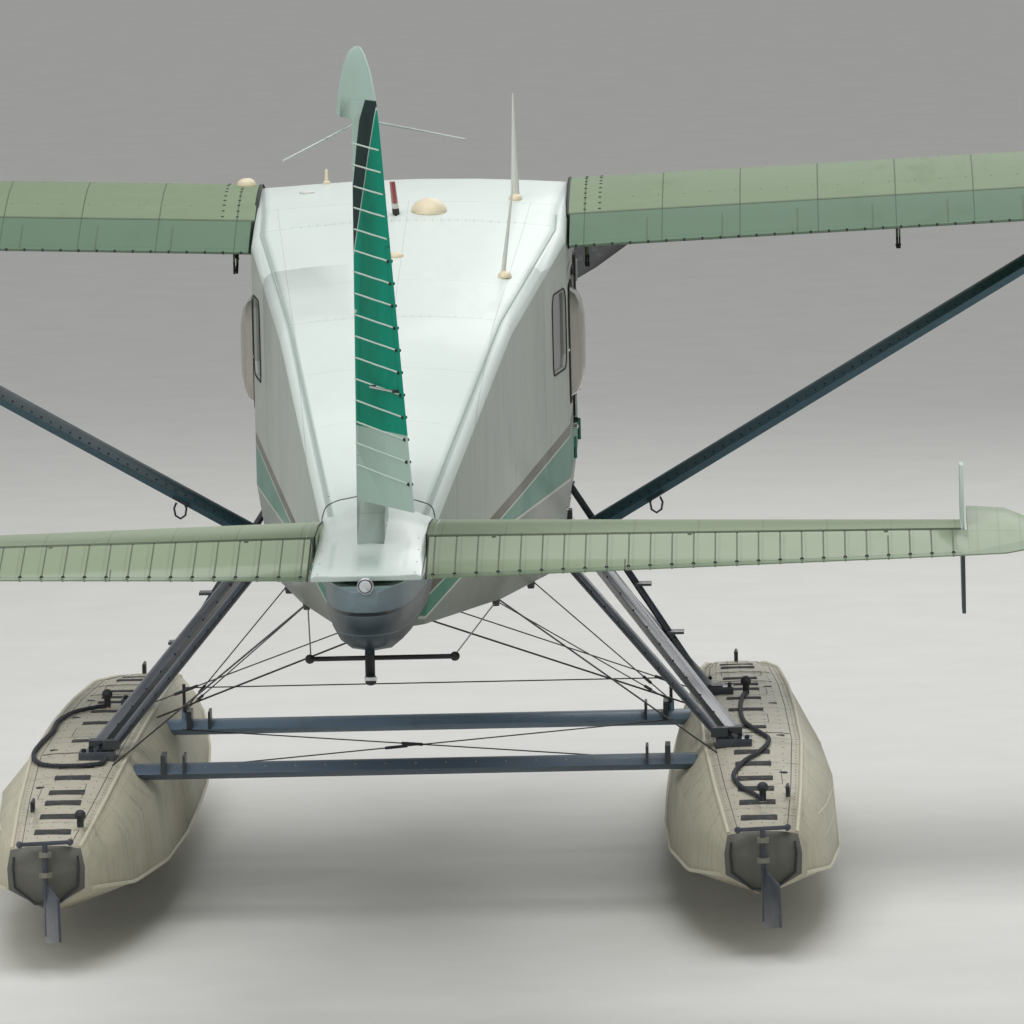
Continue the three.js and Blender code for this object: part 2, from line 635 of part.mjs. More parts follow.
function foilHalf(t) {
  return 5 * FOIL_THICKNESS * (0.2969 * Math.sqrt(t) - 0.126 * t - 0.3516 * t ** 2 + 0.2843 * t ** 3 - 0.1036 * t ** 4);
}
function foilCamber(t) {
  const p = FOIL_CREST;
  const bend = t < p ? (2 * p * t - t * t) / (p * p) : (1 - 2 * p + 2 * p * t - t * t) / ((1 - p) * (1 - p));
  return FOIL_CAMBER * bend;
}
function wingLift(y) {
  return (y - WING_ROOT) * Math.tan(THREE.MathUtils.degToRad(WING_DIHEDRAL));
}
// A wing section: chord and thickness shares taper the tip, grow thickens it for cutting
function wingRing(y, side, chordShare = 1, thickShare = 1, grow = 0) {
  const chord = WING_CHORD * chordShare;
  const nose = WING_NOSE - WING_CHORD * 0.35 * (1 - chordShare);
  const slope = THREE.MathUtils.degToRad(WING_INCIDENCE);
  const point = (t, sign) => {
    const half = foilHalf(t) * WING_CHORD * thickShare + TRAILING_HALF * t + grow;
    const x = nose + grow * (1 - 2 * t) - t * chord;
    const backChord = x - (WING_NOSE - WING_CHORD);
    return [x, side * y, WING_CHORD_Z + wingLift(y) + backChord * Math.sin(slope)
      + foilCamber(t) * WING_CHORD * thickShare + sign * half];
  };
  return [
    ...FOIL_STEPS.map((t) => point(t, 1)),
    [nose + grow, side * y, WING_CHORD_Z + wingLift(y) + (nose - WING_NOSE + WING_CHORD) * Math.sin(slope)],
    ...[...FOIL_STEPS].reverse().map((t) => point(t, -1)),
  ];
}
// columns: y, chord share, thickness share
const WING = [
  [WING_ROOT + GAP, 1, 1],
  [8500, 1, 1],
  [8700, 0.93, 0.75],
  [8800, 0.8, 0.45],
  [WING_TIP, 0.6, 0.15],
];
const wingSolid = (side, grow = 0) => loft(WING.map(([y, c, t]) => wingRing(y, side, c, t, grow)));

const FLAP_FRONT = WING_NOSE - WING_CHORD + FLAP_CHORD;
const AILERON_NOSE = 56;
const AILERON_HINGE = WING_NOSE - WING_CHORD + AILERON_CHORD - AILERON_NOSE;
const FLAP_PIVOT = { x: FLAP_FRONT - 60, below: 245, boss: 2 };
const FLAP_ARMS = [950, 2630, 4310];
const AILERON_LUGS = [5600, 6800, 8000];
const pivotZ = (y) => WING_CHORD_Z + 120 + wingLift(y) - FLAP_PIVOT.below;

// The middle of the wing's thickness at a place along the chord
function wingMiddle(x, y) {
  const t = (WING_NOSE - x) / WING_CHORD;
  const rise = (x - (WING_NOSE - WING_CHORD)) * Math.sin(THREE.MathUtils.degToRad(WING_INCIDENCE));
  return WING_CHORD_Z + wingLift(y) + rise + foilCamber(t) * WING_CHORD;
}
function slab(x0, x1, y0, y1, side) {
  const [a, b] = side > 0 ? [y0, y1] : [-y1, -y0];
  return box(x0, x1, a, b, 600, 2000);
}

bothSides((side, ending) => {
  const whole = wingSolid(side);
  const back = WING_NOSE - WING_CHORD - 100;
  const aileronFront = AILERON_HINGE + AILERON_NOSE + RUNNING_GAP;
  let wing = whole
    .subtract(slab(back, FLAP_FRONT + RUNNING_GAP, 0, AILERON_FROM - RUNNING_GAP, side))
    .subtract(slab(back, aileronFront, AILERON_FROM - 2 * RUNNING_GAP, AILERON_TO + RUNNING_GAP, side));
  let flap = whole.intersect(slab(back, FLAP_FRONT, FLAP_FROM, FLAP_TO, side));
  for (const y of FLAP_ARMS) {
    const pin = pivotZ(y);
    const [a, b] = side > 0 ? [y + FLAP_PIVOT.boss, y + 12] : [-y - 12, -y - FLAP_PIVOT.boss];
    flap = flap.add(box(FLAP_PIVOT.x - 18, FLAP_PIVOT.x + 18, a, b, pin - 20, pin + 120))
      .add(rod([FLAP_PIVOT.x, side * y, pin], [FLAP_PIVOT.x, side * (y + 6), pin], LUG.boss, 10));
    const [c, d] = side > 0 ? [y - 12 - GAP, y - GAP] : [-y + GAP, -y + 12 + GAP];
    const bracketBack = FLAP_FRONT + RUNNING_GAP + 4;
    wing = wing.add(loft([c, d].map((py) => [
      [FLAP_PIVOT.x - 18, py, pin - 18], [FLAP_PIVOT.x + 40, py, pin - 18], [FLAP_FRONT + 190, py, pin + 130],
      [bracketBack, py, pin + 130], [bracketBack, py, pin + 22], [FLAP_PIVOT.x - 18, py, pin + 22],
    ])));
  }
  for (const y of AILERON_LUGS) {
    wing = wing.add(hingeLug(AILERON_HINGE, aileronFront + 30, side * y, wingMiddle(AILERON_HINGE, y)));
  }
  piece(`wing_${ending}`, wing, 'sage');
  piece(`flap_${ending}`, flap, 'sage');

  const ends = [AILERON_FROM, AILERON_TO];
  const nose = rod(
    [AILERON_HINGE, side * ends[0], wingMiddle(AILERON_HINGE, ends[0])],
    [AILERON_HINGE, side * ends[1], wingMiddle(AILERON_HINGE, ends[1])],
    AILERON_NOSE,
    14,
  );
  const aileron = whole.intersect(slab(back, AILERON_HINGE, ...ends, side))
    .add(nose.intersect(slab(back, FAR * 4, ...ends, side)));
  const slots = AILERON_LUGS.map((y) => lugSlot(AILERON_HINGE, side * y));
  piece(`aileron_${ending}`, slots.reduce((all, slot) => all.subtract(slot), aileron), 'sage');
});

// Streamlined bars: a section with its chord along X
function fairedBar(from, to, chord, depth, endChord = chord, endDepth = depth) {
  const a = new THREE.Vector3(...from);
  const b = new THREE.Vector3(...to);
  const along = b.clone().sub(a).normalize();
  const forward = new THREE.Vector3(1, 0, 0).addScaledVector(along, -along.x).normalize();
  const out = along.clone().cross(forward);
  // columns: share of the chord, share of the half depth
  const half = [[0.5, 0], [0.4, 0.62], [0.18, 1], [-0.15, 0.85], [-0.5, 0]];
  const section = [...half, ...half.slice(1, -1).reverse().map(([u, v]) => [u, -v])];
  return loft([[a, chord, depth], [b, endChord, endDepth]].map(([p, c, d]) => section.map(([u, v]) => {
    const q = p.clone().addScaledVector(forward, u * c).addScaledVector(out, v * d / 2);
    return [q.x, q.y, q.z];
  })));
}

const bodySkin = bodyLoft(TAIL_FRAME, CABIN_REAR + 1, -GAP).add(bodyLoft(CABIN_REAR, CABIN_FRONT + 1800, -GAP));
const WING_STRUT = { foot: [9030, 770, -677], head: [8490, 3970, 1229], chord: 230, depth: 95 };
bothSides((side, ending) => {
  const place = ([x, y, z]) => [x, side * y, z];
  const bar = fairedBar(place(WING_STRUT.foot), place(WING_STRUT.head), WING_STRUT.chord, WING_STRUT.depth);
  piece(`wing_strut_${ending}`, bar.subtract(bodySkin).subtract(wingSolid(side, GAP)), 'strut');
});

// Nose: cowling, engine, exhausts, spinner and propeller
const COWL_END = 12760;
const cowlSkin = bodyLoft(CABIN_FRONT + GAP, COWL_END);
const cowlRoom = bodyLoft(CABIN_FRONT - 100, COWL_END - 14, 12);
const along = (geometry) => geometry.applyMatrix4(new THREE.Matrix4().makeRotationZ(-Math.PI / 2));
const shaftHole = solidOf(along(new THREE.CylinderGeometry(60, 60, 200, 16)).translate(COWL_END, 0, PROP_AXIS));
const chinMouth = box(COWL_END - 160, COWL_END + 50, -115, 115, -265, -95);
piece('cowling', cowlSkin.subtract(cowlRoom).subtract(shaftHole).subtract(chinMouth), 'white');

const ENGINE_AXIS = 110;
const HUB = { radius: 110, from: SPINNER_BACK + 40, to: PROP_PLANE + 110 };
const SHAFT_RADIUS = 48;
const engineProfile = [[0, CABIN_FRONT + GAP], [240, CABIN_FRONT + GAP], [240, 12050], [165, 12420], [165, 12600], [0, 12600]];
const engine = solidOf(along(lathe(engineProfile, 20)).translate(0, 0, ENGINE_AXIS))
  .add(rod([12500, 0, PROP_AXIS], [HUB.from - GAP, 0, PROP_AXIS], SHAFT_RADIUS, 12));
piece('engine', engine, 'engine');

const EXHAUST = { x: 12180, out: 400, z: 150, radius: 82 };
bothSides((side, ending) => {
  const start = new THREE.Vector3(EXHAUST.x, side * (EXHAUST.out - 90), EXHAUST.z);
  const bend = new THREE.Vector3(EXHAUST.x + 30, side * (EXHAUST.out + 190), EXHAUST.z - 10);
  const end = new THREE.Vector3(EXHAUST.x - 330, side * (EXHAUST.out + 215), EXHAUST.z - 60);
  const path = new THREE.QuadraticBezierCurve3(start, bend, end);
  const pipe = (radius, curve) => {
    const ringShape = new THREE.Shape().absarc(0, 0, radius, 0, 2 * Math.PI);
    return solidOf(new THREE.ExtrudeGeometry(ringShape, { steps: 6, curveSegments: 8, extrudePath: curve }));
  };
  const beyond = end.clone().addScaledVector(path.getTangent(1), 20);
  const boreFrom = path.getPoint(0.55);
  const bore = rod(boreFrom.toArray(), beyond.toArray(), EXHAUST.radius - 14, 12);
  piece(`exhaust_${ending}`, pipe(EXHAUST.radius, path).subtract(bore).subtract(bodySkin), 'steel');
});

const BLADE_COUNT = 3;
// columns: radius, chord, thickness, pitch in degrees
const BLADE = [
  [60, 90, 80, 50],
  [300, 120, 62, 46],
  [620, 205, 34, 34],
  [1000, 200, 22, 25],
  [1250, 150, 14, 20],
  [PROP_RADIUS, 70, 8, 18],
];
function blade(turn, grow = 0) {
  return loft(BLADE.map(([r, chord, thick, pitch]) => {
    const half = [[0.5, 0], [0.3, 0.42], [0, 0.5], [-0.3, 0.35], [-0.5, 0]];
    const section = [...half, ...half.slice(1, -1).reverse().map(([u, v]) => [u, -v])];
    const tilt = THREE.MathUtils.degToRad(pitch);
    return section.map(([u, v]) => {
      const c = u * (chord + 2 * grow);
      const d = v * (thick + 2 * grow);
      const x = c * Math.sin(tilt) + d * Math.cos(tilt);
      const t = c * Math.cos(tilt) - d * Math.sin(tilt);
      return [
        PROP_PLANE + x,
        t * Math.cos(turn) - (r - grow) * Math.sin(turn),
        PROP_AXIS + t * Math.sin(turn) + (r - grow) * Math.cos(turn),
      ];
    });
  }));
}
const hub = (grow) => rod([HUB.from - grow, 0, PROP_AXIS], [HUB.to + grow, 0, PROP_AXIS], HUB.radius + grow, 16);
const spinnerProfile = [[0, SPINNER_BACK], [185, SPINNER_BACK], [SPINNER_RADIUS, 12850], [196, 12950], [165, 13090],
  [105, 13190], [45, 13236], [0, SPINNER_TIP]];
const shaftRoom = rod([SPINNER_BACK - 10, 0, PROP_AXIS], [HUB.from + 10, 0, PROP_AXIS], 60, 16);
let spinner = solidOf(along(lathe(spinnerProfile, 24)).translate(0, 0, PROP_AXIS)).subtract(hub(GAP)).subtract(shaftRoom);
let propeller = hub(0);
for (let k = 0; k < BLADE_COUNT; k += 1) {
  const turn = ((k + 0.5) / BLADE_COUNT) * 2 * Math.PI;
  spinner = spinner.subtract(blade(turn, GAP));
  propeller = propeller.add(blade(turn));
}
piece('propeller', propeller, 'blade');
piece('spinner', spinner, 'bright');

// Floats
// columns: x, keel, chine, chine half width, side, side half width, deck edge, deck half width, all heights above the keels
const FLOAT = [
  [FLOAT_STERN, 330, 430, 195, 540, 200, 635, 182],
  [5700, 195, 330, 370, 600, 340, 755, 230],
  [6900, 120, 300, 450, 680, 420, 865, 265],
  [FLOAT_STEP - 8, 85, 290, 453, 700, 393, 895, 262],
  [FLOAT_STEP, 0, 280, 455, 700, 395, 895, 262],
  [9500, 0, 285, 430, 690, 355, 893, 250],
  [10600, 0, 290, 400, 670, 315, 875, 222],
  [11700, 70, 370, 340, 610, 270, 790, 175],
  [12600, 250, 480, 250, 590, 205, 690, 125],
  [13100, 420, 530, 150, 575, 140, 620, 85],
  [FLOAT_BOW, 500, 540, 76, 560, 72, 590, 46],
];
const KEEL_HALF = 20;
const CROWN = 18;
function floatMiddle(x) {
  return FLOAT_STERN_Y - FLOAT_TOE * Math.max(0, x - FLOAT_STERN);
}
function floatLoft(side, grow = 0) {
  return loft(FLOAT.map(([x, keel, chine, chineHalf, mid, midHalf, deck, deckHalf]) => {
    const half = [[deckHalf * 0.55, deck + CROWN * 0.8 + grow], [deckHalf + grow, deck + grow], [midHalf + grow, mid],
      [chineHalf + grow, chine - grow], [KEEL_HALF + grow, keel - grow]];
    const ring = [[0, deck + CROWN + grow], ...half, ...half.map(([y, h]) => [-y, h]).reverse()];
    return ring.map(([y, h]) => [x, side * floatMiddle(x) + y, h - KEEL_DEPTH]);
  }));
}

const FRONT_FRAME = 9000;
const REAR_FRAME = 6800;
const SPREADER_HEIGHT = 780;
const SPREADER = { chord: 210, depth: 88 };
const floatSkins = floatLoft(1, GAP).add(floatLoft(-1, GAP));

// columns: top point, foot point, chord, depth
const FRONT_STRUT = [[9240, 700, -520], [8995, 1620, -1560], 130, 64];
const REAR_STRUTS = [
  [[6905, 663, -380], [6790, 1663, -1560], 120, 52],
  [[8720, 726, -440], [6745, 1740, -1560], 140, 88],
];
const FOOT_PLATE = { from: 6690, to: 6880, inner: 1600, outer: 1790, low: -1620, top: -1515 };
// A tube with two treads climbs from the front strut's foot to the cockpit door
const LADDER = { top: [9205, 770, -310], foot: [8990, 1560, -1520], radius: 20 };
const LADDER_FOOT = { from: 8925, to: 9065, inner: 1530, outer: 1680, low: -1600, top: -1470 };
const TREAD = { heights: [-915, -1180], half: 75, inner: 14, outer: 78, thick: 14 };
// Deck fittings of each float, let a little into the deck
// columns: station, distance from the middle of the aircraft to port, kind
const DECK_FITTINGS = [
  [11400, 1680, 'cleat'],
  [8840, 1750, 'bollard'],
  [5400, 1960, 'cleat'],
  [5000, 1690, 'bollard'],
  [11400, -1680, 'cleat'],
  [8840, -1750, 'bollard'],
  [5400, -1980, 'cleat'],
  [5280, -1850, 'bollard'],
];
const SUNK = 25;
const CLEAT = { half: 95, leg: 34, height: 52, radius: 11 };
const BOLLARD = { radius: 18, height: 78, ball: 30 };
// The top of a deck, which falls away from its middle line
function deckTop(x, y) {
  const edge = between(FLOAT, 6, x) - KEEL_DEPTH;
  const share = Math.abs(Math.abs(y) - floatMiddle(x)) / between(FLOAT, 7, x);
  return edge + CROWN * (share < 0.55 ? 1 - 0.2 * (share / 0.55) : 0.8 * (1 - share) / 0.45);
}
function deckFitting([x, y, kind]) {
  const deck = deckTop(x, y);
  if (kind === 'bollard') {
    const head = deck + BOLLARD.height;
    return rod([x, y, deck - SUNK], [x, y, head], BOLLARD.radius, 10).add(ball([x, y, head], BOLLARD.ball));
  }
  const leg = (step) => rod([x + step, y, deck - SUNK], [x + step, y, deck + CLEAT.height], CLEAT.radius, 8);
  const horn = (end) => rod([x, y, deck + CLEAT.height], [x + end, y, deck + CLEAT.height + 8],
    CLEAT.radius + 2, 8, CLEAT.radius - 3);
  return [leg(CLEAT.leg), horn(CLEAT.half), horn(-CLEAT.half)].reduce((all, one) => all.add(one), leg(-CLEAT.leg));
}

const RUDDER_POST = { x: FLOAT_STERN - 45, radius: 14, low: 190, high: 672 };
const WATER_BLADE = { reach: 265, low: 150, high: 470, half: 7 };
const TILLER_HALF = 134;

bothSides((side, ending) => {
  const place = ([x, y, z]) => [x, side * y, z];
  const post = RUDDER_POST;
  const up = (h) => h - KEEL_DEPTH;
  const postY = side * FLOAT_STERN_Y;
  const bearingHole = rod([post.x, postY, up(300)], [post.x, postY, up(700)],
    (post.radius + GAP) / Math.cos(Math.PI / 10), 10);
  const lugs = [[495, 520], [600, 625]].map(([low, high]) =>
    box(post.x - 32, FLOAT_STERN + 60, postY - 32, postY + 32, up(low), up(high)));
  const fittings = DECK_FITTINGS.filter(([, y]) => y * side > 0).map(deckFitting);
  const hull = [...lugs, ...fittings].reduce((all, one) => all.add(one), floatLoft(side)).subtract(bearingHole);
  piece(`float_${ending}`, hull, 'float');

  const strut = ([top, foot, chord, depth]) => fairedBar(place(top), place(foot), chord, depth);
  const seated = (solid) => solid.subtract(bodySkin).subtract(floatSkins);
  const foot = ({ from, to, inner, outer, low, top }) => {
    const edges = [side * inner, side * outer].sort((a, b) => a - b);
    return box(from, to, ...edges, low, top);
  };
  const treads = TREAD.heights.map((z) => {
    const share = (LADDER.top[2] - z) / (LADDER.top[2] - LADDER.foot[2]);
    const [x, y] = [0, 1].map((k) => LADDER.top[k] + share * (LADDER.foot[k] - LADDER.top[k]));
    const edges = { inner: y - TREAD.inner, outer: y + TREAD.outer };
    return foot({ from: x - TREAD.half, to: x + TREAD.half, ...edges, low: z, top: z + TREAD.thick });
  });
  const ladder = [rod(place(LADDER.top), place(LADDER.foot), LADDER.radius, 8), foot(LADDER_FOOT), ...treads];
  const plate = foot(FOOT_PLATE);
  const front = ladder.reduce((all, one) => all.add(one), strut(FRONT_STRUT));
  piece(`float_strut_front_${ending}`, seated(front), 'steel');
  piece(`float_struts_rear_${ending}`, seated(REAR_STRUTS.map(strut).reduce((all, one) => all.add(one), plate)), 'steel');

  const steered = new THREE.Group();
  steered.position.set(post.x, postY, -KEEL_DEPTH);
  steered.rotation.z = THREE.MathUtils.degToRad(RUDDER_REST);
  aircraft.add(steered);
  const blade = WATER_BLADE;
  const waterRudder = rod([0, 0, post.low], [0, 0, post.high], post.radius, 10)
    .add(loft([-1, 1].map((face) => [
      [0, face * blade.half, blade.high],
      [-blade.reach, face * blade.half, blade.high - 60],
      [-blade.reach - 20, face * blade.half, blade.low + 40],
      [0, face * blade.half, blade.low],
    ])))
    .add(rod([0, -TILLER_HALF, post.high], [0, TILLER_HALF, post.high], 11, 8))
    .add(ball([0, -TILLER_HALF, post.high], 19, 8, 5))
    .add(ball([0, TILLER_HALF, post.high], 19, 8, 5));
  piece(`water_rudder_${ending}`, waterRudder, 'dark', steered);
});

// A short post stands near each end of the front bar
const SPREADER_POST = { y: 1337, radius: 16, top: -1545 };
for (const [name, x, posts] of [['spreader_front', FRONT_FRAME, [1, -1]], ['spreader_rear', REAR_FRAME, []]]) {
  const z = SPREADER_HEIGHT - KEEL_DEPTH;
  const end = floatMiddle(x);
  const bar = fairedBar([x, -end, z], [x, end, z], SPREADER.chord, SPREADER.depth);
  const standing = posts.map((side) => {
    const y = side * SPREADER_POST.y;
    return rod([x, y, z], [x, y, SPREADER_POST.top], SPREADER_POST.radius, 10);
  });
  piece(name, standing.reduce((all, one) => all.add(one), bar.subtract(floatSkins)), 'steel');
}

// Mooring ropes that lie on the decks, from a bollard to another fitting
const ROPE = { radius: 12.5, lift: 4, step: 75, sides: 8 };
// Each row is a station and a distance to port
const ROPES = {
  rope_left: [[8827, 1764], [8740, 1830], [8570, 1925], [8200, 1985], [7770, 1990], [7280, 2030], [6860, 2040],
    [6600, 1990], [6490, 1890], [6480, 1770], [6530, 1675], [6610, 1650], [6688, 1650]],
  rope_right: [[8820, -1750], [8640, -1732], [8100, -1722], [7520, -1745], [7120, -1815], [6800, -1880],
    [6480, -1830], [6240, -1750], [5900, -1695], [5620, -1730], [5420, -1798], [5300, -1842.5]],
};
for (const [name, places] of Object.entries(ROPES)) {
  const points = places.map(([x, y]) => new THREE.Vector3(x, y, deckTop(x, y) + ROPE.radius + ROPE.lift));
  const route = new THREE.CatmullRomCurve3(points, false, 'catmullrom', 0.5);
  const section = new THREE.Shape();
  for (let k = 0; k < ROPE.sides; k += 1) {
    const a = (k / ROPE.sides) * 2 * Math.PI;
    section[k ? 'lineTo' : 'moveTo'](ROPE.radius * Math.cos(a), ROPE.radius * Math.sin(a));
  }
  section.closePath();
  const steps = Math.round(route.getLength() / ROPE.step);
  piece(name, solidOf(new THREE.ExtrudeGeometry(section, { steps, extrudePath: route })), 'rope');
}

// Main stays: two wires cross under the belly, clipped where they meet, and one on each side runs aft
const WIRE_RADIUS = 5;
const CROSS_WIRE = { belly: [6900, 500, -660], float: [8800, -1560, -1590] };
const SIDE_WIRE = { belly: [5300, 450, -570], float: [6620, 1620, -1590] };
const wire = ({ belly, float }, side) =>
  rod([belly[0], side * belly[1], belly[2]], [float[0], side * float[1], float[2]], WIRE_RADIUS, 6);
const crossing = CROSS_WIRE.belly[1] / (CROSS_WIRE.belly[1] - CROSS_WIRE.float[1]);
const clipPlace = [0, 1, 2].map((k) => CROSS_WIRE.belly[k] + crossing * (CROSS_WIRE.float[k] - CROSS_WIRE.belly[k]));
const crossed = wire(CROSS_WIRE, 1).add(wire(CROSS_WIRE, -1)).add(ball(clipPlace, 16, 8, 5));
piece('brace_wires', crossed.subtract(bodySkin).subtract(floatSkins), 'dark');
bothSides((side, ending) => {
  piece(`side_wire_${ending}`, wire(SIDE_WIRE, side).subtract(bodySkin).subtract(floatSkins), 'dark');
});

// Aerials and domes
const ROOF_AERIALS = [
  // columns: name, foot x, foot y, foot z, tip y, tip z, foot radius
  ['roof_aerial_front', 8300, -563, 1285, -563, 1850, 26],
  ['roof_aerial_rear', 6300, -530, 1000, -600, 1487, 14],
];
for (const [name, x, y, foot, tipY, tip, radius] of ROOF_AERIALS) {
  piece(name, rod([x, y, foot - 40], [x - 20, tipY, tip], radius, 8, 4).subtract(bodySkin), 'cream');
}
const dome = new THREE.SphereGeometry(100, 16, 8).scale(1.25, 1, 0.8).translate(7900, -106, 1240);
piece('roof_dome', solidOf(dome).subtract(bodySkin), 'cream');

aircraft.position.set(-TAIL_TO_MIDDLE, 0, KEEL_DEPTH);
aircraft.updateMatrixWorld(true);

export default aircraft;
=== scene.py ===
# Looks of a high-wing bush aircraft on twin floats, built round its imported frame.
# Metres. +X is towards the nose, +Y to port, +Z up, and the keels stand on Z = 0.
import json
import math

import bmesh
import bpy
from mathutils import Matrix, Vector
from mathutils.bvhtree import BVHTree


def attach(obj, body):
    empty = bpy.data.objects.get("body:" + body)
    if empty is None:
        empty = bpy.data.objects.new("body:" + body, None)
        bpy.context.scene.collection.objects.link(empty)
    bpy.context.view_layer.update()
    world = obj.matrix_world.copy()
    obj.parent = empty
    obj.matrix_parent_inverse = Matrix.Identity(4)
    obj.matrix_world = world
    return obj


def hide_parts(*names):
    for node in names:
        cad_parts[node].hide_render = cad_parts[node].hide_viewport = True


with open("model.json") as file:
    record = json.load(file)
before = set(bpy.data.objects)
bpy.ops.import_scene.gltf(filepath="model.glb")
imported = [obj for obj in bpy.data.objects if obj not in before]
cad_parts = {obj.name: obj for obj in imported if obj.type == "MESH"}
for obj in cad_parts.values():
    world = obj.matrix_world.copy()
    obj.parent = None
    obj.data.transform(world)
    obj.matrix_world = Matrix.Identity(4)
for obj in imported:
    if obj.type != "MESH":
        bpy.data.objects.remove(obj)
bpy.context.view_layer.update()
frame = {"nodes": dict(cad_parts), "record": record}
BODY_OF = {
    node: body for body, nodes in frame["record"]["behaviour"]["bodies"].items() for node in nodes
}
SIDES = {"left": 1, "right": -1}
UP = Vector((0, 0, 1))
DOWN = Vector((0, 0, -1))
AFT = Vector((-1, 0, 0))


def on_both_sides(make):
    """Whatever a function makes for a side, to port and then to starboard."""
    for ending, side in SIDES.items():
        make(ending, side)


# Stations run forward of the tail light, and heights are taken from it
TAIL_TO_MIDDLE = 6.636
KEEL_DEPTH = 2.42


def at(x, y, z):
    """A point from its station, its distance to port and its height from the tail light."""
    return Vector((x - TAIL_TO_MIDDLE, y, z + KEEL_DEPTH))


def between(rows, column, x):
    """A value read from a table by straight lines between its rows."""
    if x <= rows[0][0]:
        return rows[0][column]
    for low, high in zip(rows, rows[1:]):
        if x <= high[0]:
            share = (x - low[0]) / (high[0] - low[0])
            return low[column] + share * (high[column] - low[column])
    return rows[-1][column]


# Camera
CAMERA_PLACE = (-61.68, -2.24, 5.945)
CAMERA_ANGLES = {"down": 5.2, "left": 1.42, "roll": 1.35}
CAMERA_LENS = 455.3
CAMERA_SENSOR = 36.0


def make_camera():
    down, left, roll = (math.radians(CAMERA_ANGLES[k]) for k in ("down", "left", "roll"))
    ahead = Vector((math.cos(down) * math.cos(left), math.cos(down) * math.sin(left), -math.sin(down)))
    right = ahead.cross(UP).normalized()
    up = right.cross(ahead)
    turned_right = right * math.cos(roll) - up * math.sin(roll)
    turned_up = up * math.cos(roll) + right * math.sin(roll)
    data = bpy.data.cameras.new("camera")
    data.lens = CAMERA_LENS
    data.sensor_width = CAMERA_SENSOR
    data.clip_end = 2000
    camera = bpy.data.objects.new("camera", data)
    turn = Matrix((turned_right, turned_up, -ahead)).transposed().to_4x4()
    camera.matrix_world = Matrix.Translation(at(*CAMERA_PLACE)) @ turn
    bpy.context.scene.collection.objects.link(camera)
    bpy.context.scene.camera = camera


make_camera()


class Socket:
    """A shader socket that takes part in Python expressions."""

    def __init__(self, shader, socket):
        self.shader = shader
        self.socket = socket

    def math(self, operation, *values, clamp=False):
        settings = {"operation": operation, "use_clamp": clamp}
        return self.shader.node("ShaderNodeMath", settings, dict(enumerate(values)))

    def __add__(self, other):
        return self.math("ADD", self, other)

    def __sub__(self, other):
        return self.math("SUBTRACT", self, other)

    def __rsub__(self, other):
        return self.math("SUBTRACT", other, self)

    def __mul__(self, other):
        return self.math("MULTIPLY", self, other)

    __rmul__ = __mul__

    def __truediv__(self, other):
        return self.math("DIVIDE", self, other)

    def __neg__(self):
        return self.math("MULTIPLY", self, -1)

    def __abs__(self):
        return self.math("ABSOLUTE", self)

    def modulo(self, pitch):
        """The distance to the nearest multiple of pitch."""
        return self.math("PINGPONG", self, pitch / 2)

    def above(self, limit, soft=0.004):
        """1 above the limit and 0 below it."""
        return self.math("MULTIPLY", self - limit, 1 / soft, clamp=True)

    def below(self, limit, soft=0.004):
        return self.math("MULTIPLY", limit - self, 1 / soft, clamp=True)

    def near(self, centre, half, soft=0.002):
        """1 within half of the centre."""
        return abs(self - centre).below(half, soft)

    def within(self, low, high, soft=0.004):
        return self.above(low, soft) * self.below(high, soft)

    def greatest(self, other):
        return self.math("MAXIMUM", self, other)

    def length_with(self, other):
        return self.math("SQRT", self * self + other * other)


COAT_ROUGHNESS = 0.12


